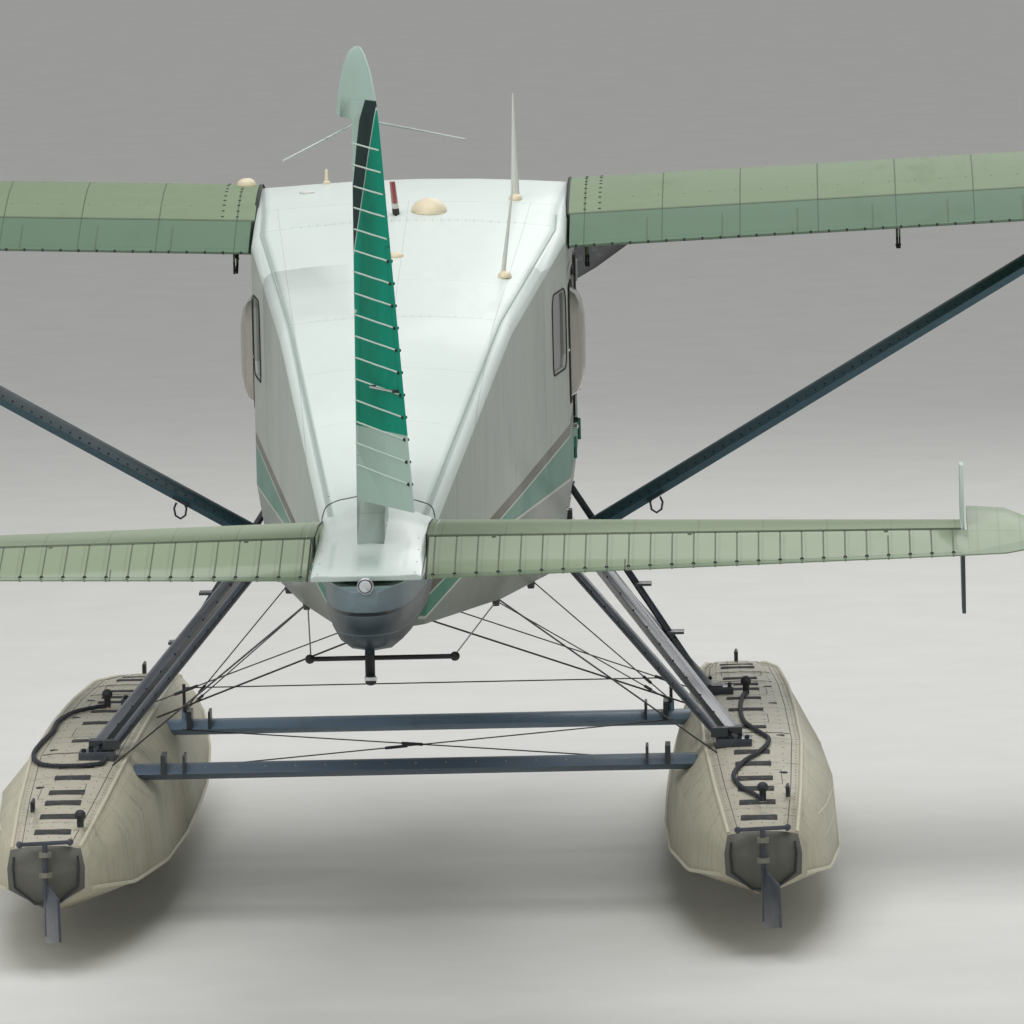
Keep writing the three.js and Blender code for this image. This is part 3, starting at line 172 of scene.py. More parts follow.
class Shader:
    """A procedural material made from expressions."""

    def __init__(self, name):
        self.material = bpy.data.materials.new(name)
        self.material.use_nodes = True
        self.tree = self.material.node_tree
        self.tree.nodes.clear()

    def node(self, kind, settings=None, values=None, output=0):
        """A node's output, after its settings and the values or links of its sockets are set."""
        made = self.tree.nodes.new(kind)
        for key, value in (settings or {}).items():
            if key == "stops":
                set_stops(made.color_ramp, value)
            else:
                setattr(made, key, value)
        for key, value in (values or {}).items():
            if isinstance(value, Socket):
                self.tree.links.new(value.socket, made.inputs[key])
            elif value is not None:
                made.inputs[key].default_value = value
        return Socket(self, made.outputs[output])

    def place(self, centre=(0, 0, 0), turn=(0, 0, 0)):
        """The object's own coordinates from a centre, then turned, as one vector."""
        coordinates = self.node("ShaderNodeTexCoord", output="Object")
        moved = self.node("ShaderNodeVectorMath", {"operation": "SUBTRACT"}, {0: coordinates, 1: centre})
        angles = [math.radians(a) for a in turn]
        return self.node("ShaderNodeMapping", None, {"Vector": moved, "Rotation": angles})

    def axes(self, vector):
        parts = self.tree.nodes.new("ShaderNodeSeparateXYZ")
        self.tree.links.new(vector.socket, parts.inputs[0])
        return [Socket(self, parts.outputs[k]) for k in range(3)]

    def noise(self, vector, scale, detail=3.0, roughness=0.55, stretch=(1, 1, 1)):
        stretched = self.node("ShaderNodeVectorMath", {"operation": "MULTIPLY"}, {0: vector, 1: stretch})
        values = {"Vector": stretched, "Scale": scale, "Detail": detail, "Roughness": roughness}
        return self.node("ShaderNodeTexNoise", None, values)

    def patchy(self, *how):
        """Noise over the object's own coordinates."""
        return self.noise(self.place(), *how)

    def table(self, value, rows, column=1, unit=4.0):
        """A table read by straight lines: values from -unit/2 to unit/2."""
        low, high = rows[0][0], rows[-1][0]
        stops = [((row[0] - low) / (high - low), shade(row[column] / unit + 0.5)) for row in rows]
        found = self.node("ShaderNodeValToRGB", {"stops": stops}, {0: (value - low) * (1 / (high - low))})
        return (found - 0.5) * unit

    def mix(self, share, first, second):
        """The first colour where share is 0 and the second where it is 1."""
        settings = {"data_type": "RGBA", "clamp_factor": True}
        values = {0: share, 6: colour(first), 7: colour(second)}
        return self.node("ShaderNodeMix", settings, values, output=2)

    def bump(self, height, distance, normal=None):
        return self.node("ShaderNodeBump", None, {"Height": height, "Distance": distance, "Normal": normal})

    def surface(self, base, roughness=0.4, metallic=0.0, normal=None, coat=0.0, specular=0.5):
        values = {"Base Color": colour(base), "Roughness": roughness, "Metallic": metallic,
                  "Normal": normal, "Coat Weight": coat, "Coat Roughness": COAT_ROUGHNESS,
                  "Specular IOR Level": specular}
        return self.end(self.node("ShaderNodeBsdfPrincipled", None, values))

    def end(self, shader):
        out = self.tree.nodes.new("ShaderNodeOutputMaterial")
        self.tree.links.new(shader.socket, out.inputs[0])
        return self.material


def colour(value):
    return (*value, 1.0) if isinstance(value, tuple) and len(value) == 3 else value


def set_stops(ramp, stops):
    while len(ramp.elements) > 1:
        ramp.elements.remove(ramp.elements[0])
    for index, (position, value) in enumerate(stops):
        element = ramp.elements[0] if index == 0 else ramp.elements.new(position)
        element.position = position
        element.color = colour(value)


def shade(level):
    return (level, level, level)


def tinted(base, factor):
    return tuple(c * factor for c in base)


def link(obj):
    bpy.context.scene.collection.objects.link(obj)
    return obj


def smooth_by_angle(mesh, degrees=32):
    mesh.polygons.foreach_set("use_smooth", [True] * len(mesh.polygons))
    mesh.set_sharp_from_angle(angle=math.radians(degrees))


# Paints
WHITE = (0.70, 0.77, 0.73)
# the sides' grey is painted shade over the roof's white
SIDE_SHADE_GREY = (0.42, 0.465, 0.415)
# colour of seam lines, and of the painted shade line along the shoulder
SEAM_AND_SHADE_LINE = (0.20, 0.25, 0.23)
BROWN = (0.120, 0.112, 0.085)
BAND_TEAL = (0.060, 0.235, 0.165)
PALE_LINE = (0.60, 0.62, 0.52)
SAGE = (0.200, 0.268, 0.162)
FLAP_SAGE = (0.114, 0.192, 0.124)
TAIL_SAGE = (0.300, 0.360, 0.245)
ELEVATOR_SAGE = (0.262, 0.325, 0.208)
EMERALD = (0.002, 0.270, 0.175)
CHARCOAL = (0.020, 0.042, 0.042)
MINT_GREY = (0.300, 0.400, 0.350)
RUDDER_MINT = (0.420, 0.555, 0.495)
PALE_MINT = (0.50, 0.60, 0.55)
CONE_TOP = (0.055, 0.110, 0.140)
CONE_LOW = (0.004, 0.020, 0.032)
STRUT_BLUE = (0.028, 0.090, 0.125)
FLOAT_CREAM = (0.565, 0.530, 0.405)
DECK_GREY = (0.520, 0.480, 0.385)
GEAR_GREY = (0.045, 0.055, 0.075)
SPREADER_GREY = (0.21, 0.31, 0.43)
BLACK = (0.012, 0.013, 0.015)
CREAM = (0.80, 0.70, 0.50)
AERIAL_WHITE = (0.68, 0.69, 0.63)
GRIME = (0.09, 0.085, 0.07)
TRIM = (0.20, 0.195, 0.18)


def painted(name, base, layers=None, roughness=0.35, dirt=0.25, coat=0.3, metallic=0.0, grain=0.0003,
            centre=(0, 0, 0), turn=(0, 0, 0), specular=0.5):
    """Paint with clouded tone, grime and fine grain. layers(s, x, y, z) gives (share, colour) pairs, put on
    in turn, and a height or None, where x, y and z are measured from the centre in the turned frame."""
    s = Shader(name)
    place = s.place(centre, turn)
    clouds = s.noise(place, 1.7, 4, 0.6)
    streaks = s.noise(place, 7, 4, 0.65, (0.3, 1, 0.25))
    tone = s.mix(clouds, tinted(base, 0.92), tinted(base, 1.06))
    height = None
    if layers:
        coats, height = layers(s, *s.axes(place))
        for share, value in coats:
            tone = s.mix(share, tone, value)
    worn = (clouds * streaks).above(0.27, 0.30)
    tone = s.mix(worn * dirt, tone, GRIME)
    fine = s.noise(place, 70, 2)
    normal = s.bump(fine, grain)
    if height is not None:
        normal = s.bump(height, 0.002, normal)
    return s.surface(tone, clouds * 0.12 + worn * 0.15 + roughness, metallic, normal, coat, specular)


def fitted(layers):
    """Layers that are given stations and heights instead of the frame's own coordinates."""
    return lambda s, x, y, z: layers(s, x + TAIL_TO_MIDDLE, y, z - KEEL_DEPTH)


def dots(along, across, pitch, radius):
    """A row of round heads on the line where across is 0."""
    return along.modulo(pitch).length_with(across).below(radius, 0.0015)


# Fuselage: white roof down to the shoulder, sides of the same white painted grey as painted shade, with a
# brown stripe over a teal band
# columns: station, shoulder height
SHOULDER = [(2.0, 0.15), (5.17, 0.85), (7.6, 1.16), (8.05, 1.24), (8.9, 1.325), (9.4, 1.29), (9.76, 1.11),
            (10.6, 0.56), (10.8, 0.51), (11.5, 0.44), (12.2, 0.36), (12.76, 0.31)]
# columns: station, half width of the body
BODY_HALF = [(2.0, 0.28), (5.17, 0.60), (7.6, 0.845), (9.76, 0.845), (10.6, 0.775), (10.8, 0.735),
             (12.76, 0.225)]
# columns: station, lower edge of the band
BAND_FOOT = [(2.0, -0.36), (3.1, -0.29), (4.5, -0.185), (12.76, -0.185)]
# columns: station, upper edge of the stripe
STRIPE_TOP = [(2.0, -0.185), (5.56, -0.006), (7.78, 0.117), (12.76, 0.20)]
STRIPE_DEPTH = 0.062
LINE_DEPTH = 0.009
CORNER = 0.07
# columns: station of a seam round the body, its strength
FRAME_LINES = [(3.40, 0.5), (4.30, 0.5), (5.21, 1.0), (6.12, 0.5), (7.66, 1.0), (8.15, 1.0), (9.05, 0.6),
               (11.30, 0.8)]
# columns: distance to port of a lengthwise seam at the station 5.6, its spread for each metre forward
ROOF_LINES = [(0.555, 0.065), (0.01, 0.0), (-0.534, -0.045)]
# the lining shows inside the walls, which lean in below the sill
WALL_INSIDE = 0.032
WALL_LEAN = 0.16
SILL = -0.18


def body_layers(inside):
    def layers(s, x, y, z):
        shoulder = s.table(x, SHOULDER)
        side = z.below(shoulder - CORNER)
        top = s.table(x, STRIPE_TOP)
        foot = s.table(x, BAND_FOOT)
        seams = None
        for place, strength in FRAME_LINES:
            seam = x.near(place, 0.0035) * (0.55 * strength)
            seams = seam if seams is None else seams.greatest(seam)
        roof = 1 - side
        for place, spread in ROOF_LINES:
            seams = seams.greatest((y - (x - 5.6) * spread).near(place, 0.0025) * roof * x.below(8.2) * 0.4)
        seams = seams.greatest(dots(z, x.modulo(0.47), 0.05, 0.004) * side * 0.35)
        streak = s.patchy(5, 3, 0.6, (5, 1, 0.35)).above(0.50, 0.2)
        coats = [
            # the sides are painted grey as painted shade
            (side, SIDE_SHADE_GREY),
            (side * streak * 0.35, tinted(SIDE_SHADE_GREY, 0.55)),
            (side * z.below(top) * z.above(top - STRIPE_DEPTH), BROWN),
            (side * z.below(top - STRIPE_DEPTH - 0.006) * z.above(foot), BAND_TEAL),
            (side * z.below(top - STRIPE_DEPTH) * z.above(top - STRIPE_DEPTH - LINE_DEPTH), PALE_LINE),
            (side * z.below(foot) * z.above(foot - 0.012), PALE_LINE),
            (side * z.below(foot - 0.012) * 0.70, tinted(SIDE_SHADE_GREY, 0.42)),
            # a thin line of painted shade along the top of the shoulder's corner
            (z.near(shoulder - 0.004, 0.006, 0.004) * x.below(9.7) * 0.6, SEAM_AND_SHADE_LINE),
            (seams, SEAM_AND_SHADE_LINE),
        ]
        if inside:
            wall = s.table(x, BODY_HALF) - WALL_INSIDE
            under = z - SILL
            lean = under.math("MINIMUM", under, 0.0) * WALL_LEAN
            lining = abs(y).below(wall + lean) * x.within(6.61, 10.79)
            coats.append((lining * z.below(shoulder - 0.045), TRIM))
        return coats, -seams
    return fitted(layers)


def fairing_layers(s, x, y, z):
    seam = x.near(1.25, 0.002) * 0.4
    cloud = s.patchy(8, 3, 0.6, (0.4, 1, 1))
    # painted shade where the fin meets the fairing, clouded, and along a fold on each side
    fin_root_shade = abs(y).below(0.085, 0.04) * x.within(0.15, 0.80, 0.25) * cloud
    fold_shade = abs(y).near(0.18, 0.02, 0.02) * x.within(0.2, 1.1, 0.2) * 0.35
    return [(fin_root_shade, MINT_GREY), (fold_shade, MINT_GREY), (seam, SEAM_AND_SHADE_LINE), (x.below(0.125) * 0.5, MINT_GREY)], -seam


def cone_layers(s, x, y, z):
    # a pale painted reflection round the tail light
    painted_reflection = (z + 0.012).length_with(y).below(0.22, 0.16)
    low = z.below(-0.13, 0.04)
    bar = z.below(-0.372) * x.below(0.47)
    light = x.below(0.012) * (z + 0.012).length_with(y).below(0.04)
    coats = [
        (low, CONE_LOW),
        (painted_reflection * 0.55, (0.30, 0.36, 0.38)),
        (z.near(-0.150, 0.010), (0.002, 0.004, 0.008)),
        (z.near(-0.262, 0.004) * x.below(1.2), (0.07, 0.12, 0.15)),
        # the cone's top is painted pale mint as a painted reflection
        (z.above(-0.03) * 0.6, MINT_GREY),
        (bar, BLACK),
        (light, (0.62, 0.64, 0.66)),
    ]
    return coats, x.near(0.95, 0.003) * -0.6


def fin_layers(s, x, y, z):
    ribs = z.modulo(0.26).below(0.0025, 0.001) * 0.45
    spar = x.near(1.05, 0.0025) * 0.45
    # the fin's foot is painted mint grey as painted shade
    base = z.below(0.36, 0.08) * 0.55
    return [(ribs.greatest(spar), SEAM_AND_SHADE_LINE), (base, MINT_GREY)], -ribs


# Rudder: a charcoal wedge along the hinge, emerald below it, mint horn and foot
RUDDER_REST = 17
HORN_FOOT = 2.19
WEDGE = {"top": 2.285, "foot": 1.54, "chord": 0.33}
# columns: height, front of the wedge behind the hinge
WEDGE_FRONT = [(1.80, -0.03), (1.885, 0.008), (2.065, 0.058), (2.175, 0.095), (2.285, 0.175)]
RIB_FALL = 0.05
EMERALD_FOOT = 0.70
TAB = {"foot": 0.875, "top": 1.59, "chord": 0.055}
# columns: height, chord behind the hinge
RUDDER_CHORD = [(0.335, 0.83), (2.18, 0.34), (2.29, 0.30), (2.42, 0.21), (2.53, 0.04)]


def rudder_layers(s, x, y, z):
    height = z - KEEL_DEPTH
    behind = -x
    slant = (height - WEDGE["foot"]) * (WEDGE["chord"] / (WEDGE["top"] - WEDGE["foot"]))
    wedge = behind.below(slant) * behind.above(s.table(height, WEDGE_FRONT))
    border = (behind - slant).near(0.004, 0.006)
    blade = height.below(HORN_FOOT).greatest(behind.above(-0.02) * height.below(2.28))
    chord = s.table(height, RUDDER_CHORD)
    tab_front = (behind - chord + TAB["chord"]).near(0.0, 0.0035) * height.within(TAB["foot"], TAB["top"])
    cuts = height.near(TAB["foot"], 0.003).greatest(height.near(TAB["top"], 0.003))
    tab_lines = tab_front.greatest(behind.above(chord - TAB["chord"]) * cuts)
    low = height.below(EMERALD_FOOT)
    pull = s.patchy(6, 3, 0.6)
    coats = [
        (blade, EMERALD),
        (blade * pull.above(0.5, 0.2) * 0.35, tinted(EMERALD, 0.6)),
        (blade * behind.below(slant), RUDDER_MINT),
        (height.below(WEDGE["top"]) * wedge, CHARCOAL),
        (blade * border * height.above(WEDGE["foot"] - 0.02), PALE_MINT),
        (low, RUDDER_MINT),
        (tab_lines, tinted(EMERALD, 0.35)),
    ]
    return coats, -tab_lines


# Elevators and tailplane
ELEVATOR_REST = 8
RIB_PITCH = 0.104
# columns: distance out, chord behind the hinge
ELEVATOR_CHORD = [(0.282, 0.650), (2.895, 0.405), (3.23, 0.16)]


def elevator_layers(s, x, y, z):
    out = abs(y)
    behind = -x
    chord = s.table(out, ELEVATOR_CHORD)
    strip = (behind - chord + 0.042).near(0.0, 0.0025) * out.below(2.86)
    tab = out.near(1.24, 0.004) * behind.above(chord - 0.16)
    hinge = behind.near(0.0, 0.004) * 0.5
    lines = strip.greatest(tab)
    shadow = (out - 0.03).modulo(RIB_PITCH).below(0.009, 0.008) * 0.30
    coats = [
        (shadow, tinted(ELEVATOR_SAGE, 0.55)),
        (behind.above(chord - 0.042) * 0.4, FLAP_SAGE),
        (lines.greatest(hinge), tinted(ELEVATOR_SAGE, 0.22)),
    ]
    return coats, -lines


def tailplane_layers(s, x, y, z):
    out = abs(y)
    station_x = x + TAIL_TO_MIDDLE
    finlet = out.above(2.862)
    ribs = (out - 0.03).modulo(0.312).below(0.002, 0.001) * 0.4
    hinge = station_x.below(0.885) * 0.75
    heads = dots(out, station_x - 0.93, 0.104, 0.005)
    coats = [
        (ribs, tinted(TAIL_SAGE, 0.4)),
        (hinge, tinted(TAIL_SAGE, 0.30)),
        (heads, BLACK),
        (finlet * z.above(KEEL_DEPTH + 0.09), PALE_MINT),
        (finlet * z.below(KEEL_DEPTH + 0.09), (0.07, 0.09, 0.10)),
    ]
    return coats, -ribs


# Wings
WING_ROOT = 0.845
WING_RIBS = 0.42
WING_SLOPE = math.tan(math.radians(2.1))
BRACKET_LOW = 0.975


def wing_layers(base):
    def layers(s, x, y, z):
        out = abs(y)
        local = z - (out - WING_ROOT) * WING_SLOPE
        ribs = (out - 0.10).modulo(WING_RIBS).below(0.0035, 0.0015)
        root = out.below(1.02)
        nose = dots(out, x - 9.43, 0.06, 0.006) * out.below(1.7)
        spars = x.near(9.02, 0.002).greatest(x.near(8.38, 0.002))
        rivets = dots(x, (out - 0.10).modulo(WING_RIBS), 0.045, 0.006)
        bracket = local.below(BRACKET_LOW) * x.within(7.98, 8.34)
        edge = x.below(8.135) * x.above(8.095) * 0.65
        worn = s.patchy(11, 4, 0.7).above(0.55, 0.2)
        coats = [
            (worn * 0.20, tinted(base, 0.66)),
            (s.patchy(3.5, 3, 0.6, (3, 0.5, 1)).above(0.5, 0.3) * 0.25, tinted(base, 1.25)),
            (root * 0.25, tinted(base, 1.2)),
            (ribs * 0.7, tinted(base, 0.35)),
            (rivets * 0.5, tinted(base, 0.45)),
            (spars * 0.35, tinted(base, 0.5)),
            (edge, tinted(base, 0.35)),
            (nose, BLACK),
            (bracket, BLACK),
        ]
        return coats, rivets * 0.5 - ribs
    return fitted(layers)


def aileron_layers(base, pitch):
    def layers(s, x, y, z):
        ribs = (abs(y) - 0.10).modulo(pitch).below(0.003, 0.0015)
        edge = x.near(7.668, 0.003)
        local = z - (abs(y) - WING_ROOT) * WING_SLOPE
        coats = [
            (ribs * 0.55, tinted(base, 0.45)),
            (edge * 0.45, tinted(base, 0.45)),
            (local.below(0.985) * x.above(7.95), BLACK),
        ]
        return coats, -ribs
    return fitted(layers)


def strut_layers(s, x, y, z):
    bands = z.modulo(0.35).below(0.002, 0.001) * 0.4
    return [(bands, tinted(STRUT_BLUE, 0.4)), (z.below(KEEL_DEPTH - 0.60) * 0.6, BLACK)], -bands


# Floats: grey deck, cream sides with lap seams and rivets
FLOAT_STERN = 4.6
FLOAT_STERN_Y = 1.85
FLOAT_TOE = 0.0245
# columns: station, deck edge over the keels, deck half width, chine, chine half width
FLOAT = [
    (4.6, 0.635, 0.182, 0.430, 0.195),
    (5.7, 0.755, 0.230, 0.330, 0.370),
    (6.9, 0.865, 0.265, 0.300, 0.450),
    (8.3, 0.895, 0.262, 0.285, 0.454),
    (9.5, 0.893, 0.250, 0.285, 0.430),
    (10.6, 0.875, 0.222, 0.290, 0.400),
    (11.7, 0.790, 0.175, 0.370, 0.340),
    (12.6, 0.690, 0.125, 0.480, 0.250),
    (13.1, 0.620, 0.085, 0.530, 0.150),
    (13.3, 0.590, 0.046, 0.540, 0.076),
]
DECK_CROWN = 0.018
HULL_FRAMES = 0.55


def float_layers(s, x, y, z):
    height = z + KEEL_DEPTH
    deck = s.table(x, FLOAT)
    top = height.above(deck - 0.004)
    frames = (x - 0.2).modulo(HULL_FRAMES)
    seams = frames.below(0.003, 0.0015)
    rivets = dots(x, height - deck + 0.045, 0.06, 0.006)
    rivets = rivets.greatest(dots(x, height - deck + 0.16, 0.06, 0.005))
    rivets = rivets.greatest(dots(y + z, frames - 0.022, 0.055, 0.005))
    runs = s.patchy(9, 4, 0.7, (1.6, 1.6, 0.22)).above(0.52, 0.25) * (1 - top)
    low = height.below(0.42, 0.22)
    scuffs = s.patchy(16, 5, 0.75).above(0.56, 0.12) * top
    coats = [
        (top, DECK_GREY),
        (scuffs * 0.50, tinted(DECK_GREY, 0.45)),
        (s.patchy(4, 3).above(0.52, 0.2) * top * 0.35, (0.42, 0.40, 0.33)),
        (runs * 0.45, (0.17, 0.16, 0.12)),
        (low * 0.55, (0.14, 0.135, 0.10)),
        (seams * 0.55, (0.10, 0.10, 0.09)),
        (rivets * 0.55, (0.12, 0.12, 0.10)),
        (x.below(4.612) * 0.7, (0.08, 0.085, 0.08)),
        (height.above(deck + 0.022), (0.03, 0.033, 0.04)),
    ]
    return coats, rivets * 0.5 - seams


def gear_layers(s, x, y, z):
    chips = s.patchy(28, 4, 0.7).above(0.66, 0.05)
    dust = s.patchy(5, 3, 0.6).above(0.50, 0.2) * 0.25
    return [(dust, (0.16, 0.165, 0.17)), (chips * 0.6, (0.26, 0.27, 0.28))], -chips


def scuffed_layers(s, x, y, z):
    worn = s.patchy(22, 4, 0.7).above(0.54, 0.1)
    return [(worn * 0.5, (0.16, 0.155, 0.14))], s.patchy(400, 2) * 0.4


def blade_layers(s, x, y, z):
    reach = (z - KEEL_DEPTH - 0.143).length_with(y)
    tip = reach.above(1.225)
    lead = reach.within(0.35, 1.1, 0.05) * s.patchy(20, 3).above(0.55, 0.1) * 0.35
    return [(lead, (0.10, 0.10, 0.10)), (tip, (0.62, 0.50, 0.10))], None


def seat_layers(s, x, y, z):
    weave = (x + z).modulo(0.006) * 150 + y.modulo(0.006) * 150
    channel = y.modulo(0.11).below(0.004, 0.003)
    return [(channel * 0.7, tinted((0.06, 0.07, 0.085), 0.3))], weave * 0.25 - channel * 2


def rope_layers(s, x, y, z):
    lay = s.patchy(60, 3, 0.6)
    return [(lay.above(0.52, 0.1) * 0.5, (0.075, 0.085, 0.10))], lay


def pane(name, tint, share, clear=(0.72, 0.76, 0.75)):
    """A pane that is part clear and part glossy."""
    s = Shader(name)
    smudge = s.patchy(6, 3)
    glossy = s.node("ShaderNodeBsdfPrincipled", None, {
        "Base Color": colour(tint), "Roughness": smudge * 0.12 + 0.05, "Coat Weight": 0.3})
    through = s.node("ShaderNodeBsdfTransparent", None, {"Color": colour(clear)})
    return s.end(s.node("ShaderNodeMixShader", None, {0: smudge * 0.15 + share, 1: through, 2: glossy}))


HINGE_STATION = 0.80
HINGE = at(HINGE_STATION, 0, 0)
TAIL_HINGE = at(HINGE_STATION, 0, 0.095)
PAINT = {
    "body": painted("body_paint", WHITE, body_layers(False), 0.38, 0.10, 0.12),
    "cabin": painted("cabin_paint", WHITE, body_layers(True), 0.38, 0.10, 0.12),
    "fairing": painted("fairing_paint", WHITE, fitted(fairing_layers), 0.30, 0.10, 0.3),
    "cone": painted("cone_paint", CONE_TOP, fitted(cone_layers), 0.34, 0.15, 0.05, specular=0.35),
    "fin": painted("fin_paint", tinted(WHITE, 0.9), fitted(fin_layers), 0.35, 0.15, 0.2),
    "rudder": painted("rudder_paint", RUDDER_MINT, rudder_layers, 0.60, 0.12, 0.0,
                      centre=(HINGE.x, 0, 0), turn=(0, 0, -RUDDER_REST), specular=0.12),
    "elevator": painted("elevator_paint", ELEVATOR_SAGE, elevator_layers, 0.45, 0.15, 0.1,
                        centre=TAIL_HINGE, turn=(0, ELEVATOR_REST, 0), specular=0.3),
    "tailplane": painted("tailplane_paint", TAIL_SAGE, tailplane_layers, 0.55, 0.15, 0.0, specular=0.3),
    "wing": painted("wing_paint", SAGE, wing_layers(SAGE), 0.55, 0.20, 0.0, specular=0.3),
    "aileron": painted("aileron_paint", SAGE, aileron_layers(SAGE, 0.21), 0.55, 0.20, 0.0, specular=0.3),
    "flap": painted("flap_paint", FLAP_SAGE, aileron_layers(FLAP_SAGE, 0.42), 0.55, 0.20, 0.0, specular=0.3),
    "strut": painted("strut_blue_paint", STRUT_BLUE, strut_layers, 0.50, 0.10, 0.0, specular=0.25),
    "float": painted("float_paint", FLOAT_CREAM, fitted(float_layers), 0.50, 0.35, 0.05),
    "gear": painted("gear_paint", GEAR_GREY, gear_layers, 0.30, 0.15, 0.4),
    "spreader": painted("spreader_paint", SPREADER_GREY, gear_layers, 0.40, 0.2, 0.1),
    # the rear spreader is a darker copy of the spreader paint, as painted shade
    "rear_spreader": painted("rear_spreader_paint", tinted(SPREADER_GREY, 0.45), gear_layers, 0.40,
                             0.2, 0.1),
    "blade": painted("blade_paint", (0.020, 0.020, 0.022), blade_layers, 0.40, 0.1, 0.1),
    "seat": painted("seat_cloth", (0.060, 0.070, 0.085), seat_layers, 0.85, 0.1, 0.0),
    "non_skid": painted("non_skid_paint", (0.045, 0.045, 0.048), scuffed_layers, 0.85, 0.3, 0.0),
    "rope": painted("rope_fibre", (0.030, 0.034, 0.044), rope_layers, 0.80, 0.2, 0.0),
    "pane": pane("pane_glass", (0.20, 0.20, 0.18), 0.35),
    "bubble": pane("bubble_glass", (0.50, 0.47, 0.41), 0.80),
    "dark_pane": pane("tinted_glass", (0.10, 0.085, 0.075), 0.75),
}
# Paints of one tone
# columns: name, colour, roughness, dirt, coat, metallic, grain
PLAIN_PAINTS = {
    "steel": ("dark_steel", (0.10, 0.10, 0.105), 0.32, 0.25, 0.0, 0.85),
    "heat": ("heat_tinted_steel", (0.20, 0.15, 0.11), 0.38, 0.35, 0.0, 0.9),
    "chrome": ("polished_metal", (0.70, 0.71, 0.73), 0.10, 0.08, 0.0, 1.0, 0.0001),
    "engine": ("engine_metal", (0.10, 0.10, 0.11), 0.5, 0.4, 0.0, 0.7, 0.0008),
    "panel": ("panel_paint", (0.028, 0.029, 0.031), 0.65, 0.1, 0.0),
    "plastic": ("cream_plastic", CREAM, 0.42, 0.12, 0.15),
    "aerial": ("aerial_paint", AERIAL_WHITE, 0.42, 0.12, 0.1),
    "rubber": ("black_rubber", BLACK, 0.60, 0.15, 0.0),
    "bolt": ("bolt_steel", (0.42, 0.43, 0.45), 0.28, 0.15, 0.0, 0.9),
    "pale_trim": ("pale_trim_paint", PALE_MINT, 0.40, 0.1, 0.1),
    "dark_trim": ("dark_trim_paint", (0.035, 0.042, 0.045), 0.45, 0.1, 0.1),
    "rib_sage": ("rib_sage_paint", tinted(ELEVATOR_SAGE, 0.42), 0.5, 0.1, 0.0),
    # the rudder's ribs are painted pale as a painted highlight
    "rib_mint": ("rib_mint_paint", (0.58, 0.69, 0.63), 0.45, 0.1, 0.0),
    "bead_mint": ("bead_mint_paint", (0.34, 0.46, 0.40), 0.45, 0.1, 0.0),
    "deck_line": ("deck_line_paint", (0.085, 0.080, 0.070), 0.6, 0.2, 0.0),
    "cream_rail": ("rail_paint", tinted(FLOAT_CREAM, 1.12), 0.45, 0.3, 0.05),
    "red": ("red_lens", (0.30, 0.008, 0.015), 0.25, 0.1, 0.3),
    "green_lens": ("green_lens", (0.01, 0.22, 0.06), 0.2, 0.1, 0.3),
}
for key, (paint_name, plain_colour, *how) in PLAIN_PAINTS.items():
    PAINT[key] = painted(paint_name, plain_colour, None, *how)


# Node trees that repeat a shape or follow a path
class NodeTree:
    """A Geometry Nodes tree with named inputs, ended by Realize Instances and Set Material."""

    def __init__(self, name, sizes):
        self.tree = bpy.data.node_groups.new(name, "GeometryNodeTree")
        self.tree.interface.new_socket("Geometry", in_out="INPUT", socket_type="NodeSocketGeometry")
        for size, kind in [*sizes, ("Material", "Material")]:
            self.tree.interface.new_socket(size, in_out="INPUT", socket_type=f"NodeSocket{kind}")
        self.tree.interface.new_socket("Geometry", in_out="OUTPUT", socket_type="NodeSocketGeometry")
        self.given = self.tree.nodes.new("NodeGroupInput").outputs

    def node(self, kind, settings=None, values=None, output=0):
        made = self.tree.nodes.new(kind)
        for key, value in (settings or {}).items():
            setattr(made, key, value)
        for key, value in (values or {}).items():
            if isinstance(value, bpy.types.NodeSocket):
                self.tree.links.new(value, made.inputs[key])
            else:
                made.inputs[key].default_value = value
        return made.outputs[output]

    def attribute(self, name):
        return self.node("GeometryNodeInputNamedAttribute", {"data_type": "FLOAT_VECTOR"}, {"Name": name})

    def end(self, geometry):
        real = self.node("GeometryNodeRealizeInstances", None, {"Geometry": geometry})
        painted_real = self.node("GeometryNodeSetMaterial", None,
                                 {"Geometry": real, "Material": self.given["Material"]})
        out = self.tree.nodes.new("NodeGroupOutput")
        self.tree.links.new(painted_real, out.inputs[0])
        return self.tree


def tube_tree():
    """A round tube along each chain of edges."""
    t = NodeTree("tubes_along_paths", [("Radius", "Float"), ("Sides", "Int")])
    path = t.node("GeometryNodeMeshToCurve", None, {"Mesh": t.given["Geometry"]})
    ring = t.node("GeometryNodeCurvePrimitiveCircle", {"mode": "RADIUS"},
                  {"Resolution": t.given["Sides"], "Radius": t.given["Radius"]})
    return t.end(t.node("GeometryNodeCurveToMesh", None,
                        {"Curve": path, "Profile Curve": ring, "Fill Caps": True}))


def strip_tree():
    """A flat strip along each chain of edges, upright on its path."""
    t = NodeTree("strips_along_paths", [("Width", "Float"), ("Depth", "Float")])
    path = t.node("GeometryNodeMeshToCurve", None, {"Mesh": t.given["Geometry"]})
    upright = t.node("GeometryNodeSetCurveNormal", {"mode": "Z_UP"}, {"Curve": path})
    section = t.node("GeometryNodeCurvePrimitiveQuadrilateral", {"mode": "RECTANGLE"},
                     {"Width": t.given["Width"], "Height": t.given["Depth"]})
    return t.end(t.node("GeometryNodeCurveToMesh", None,
                        {"Curve": upright, "Profile Curve": section, "Fill Caps": True}))


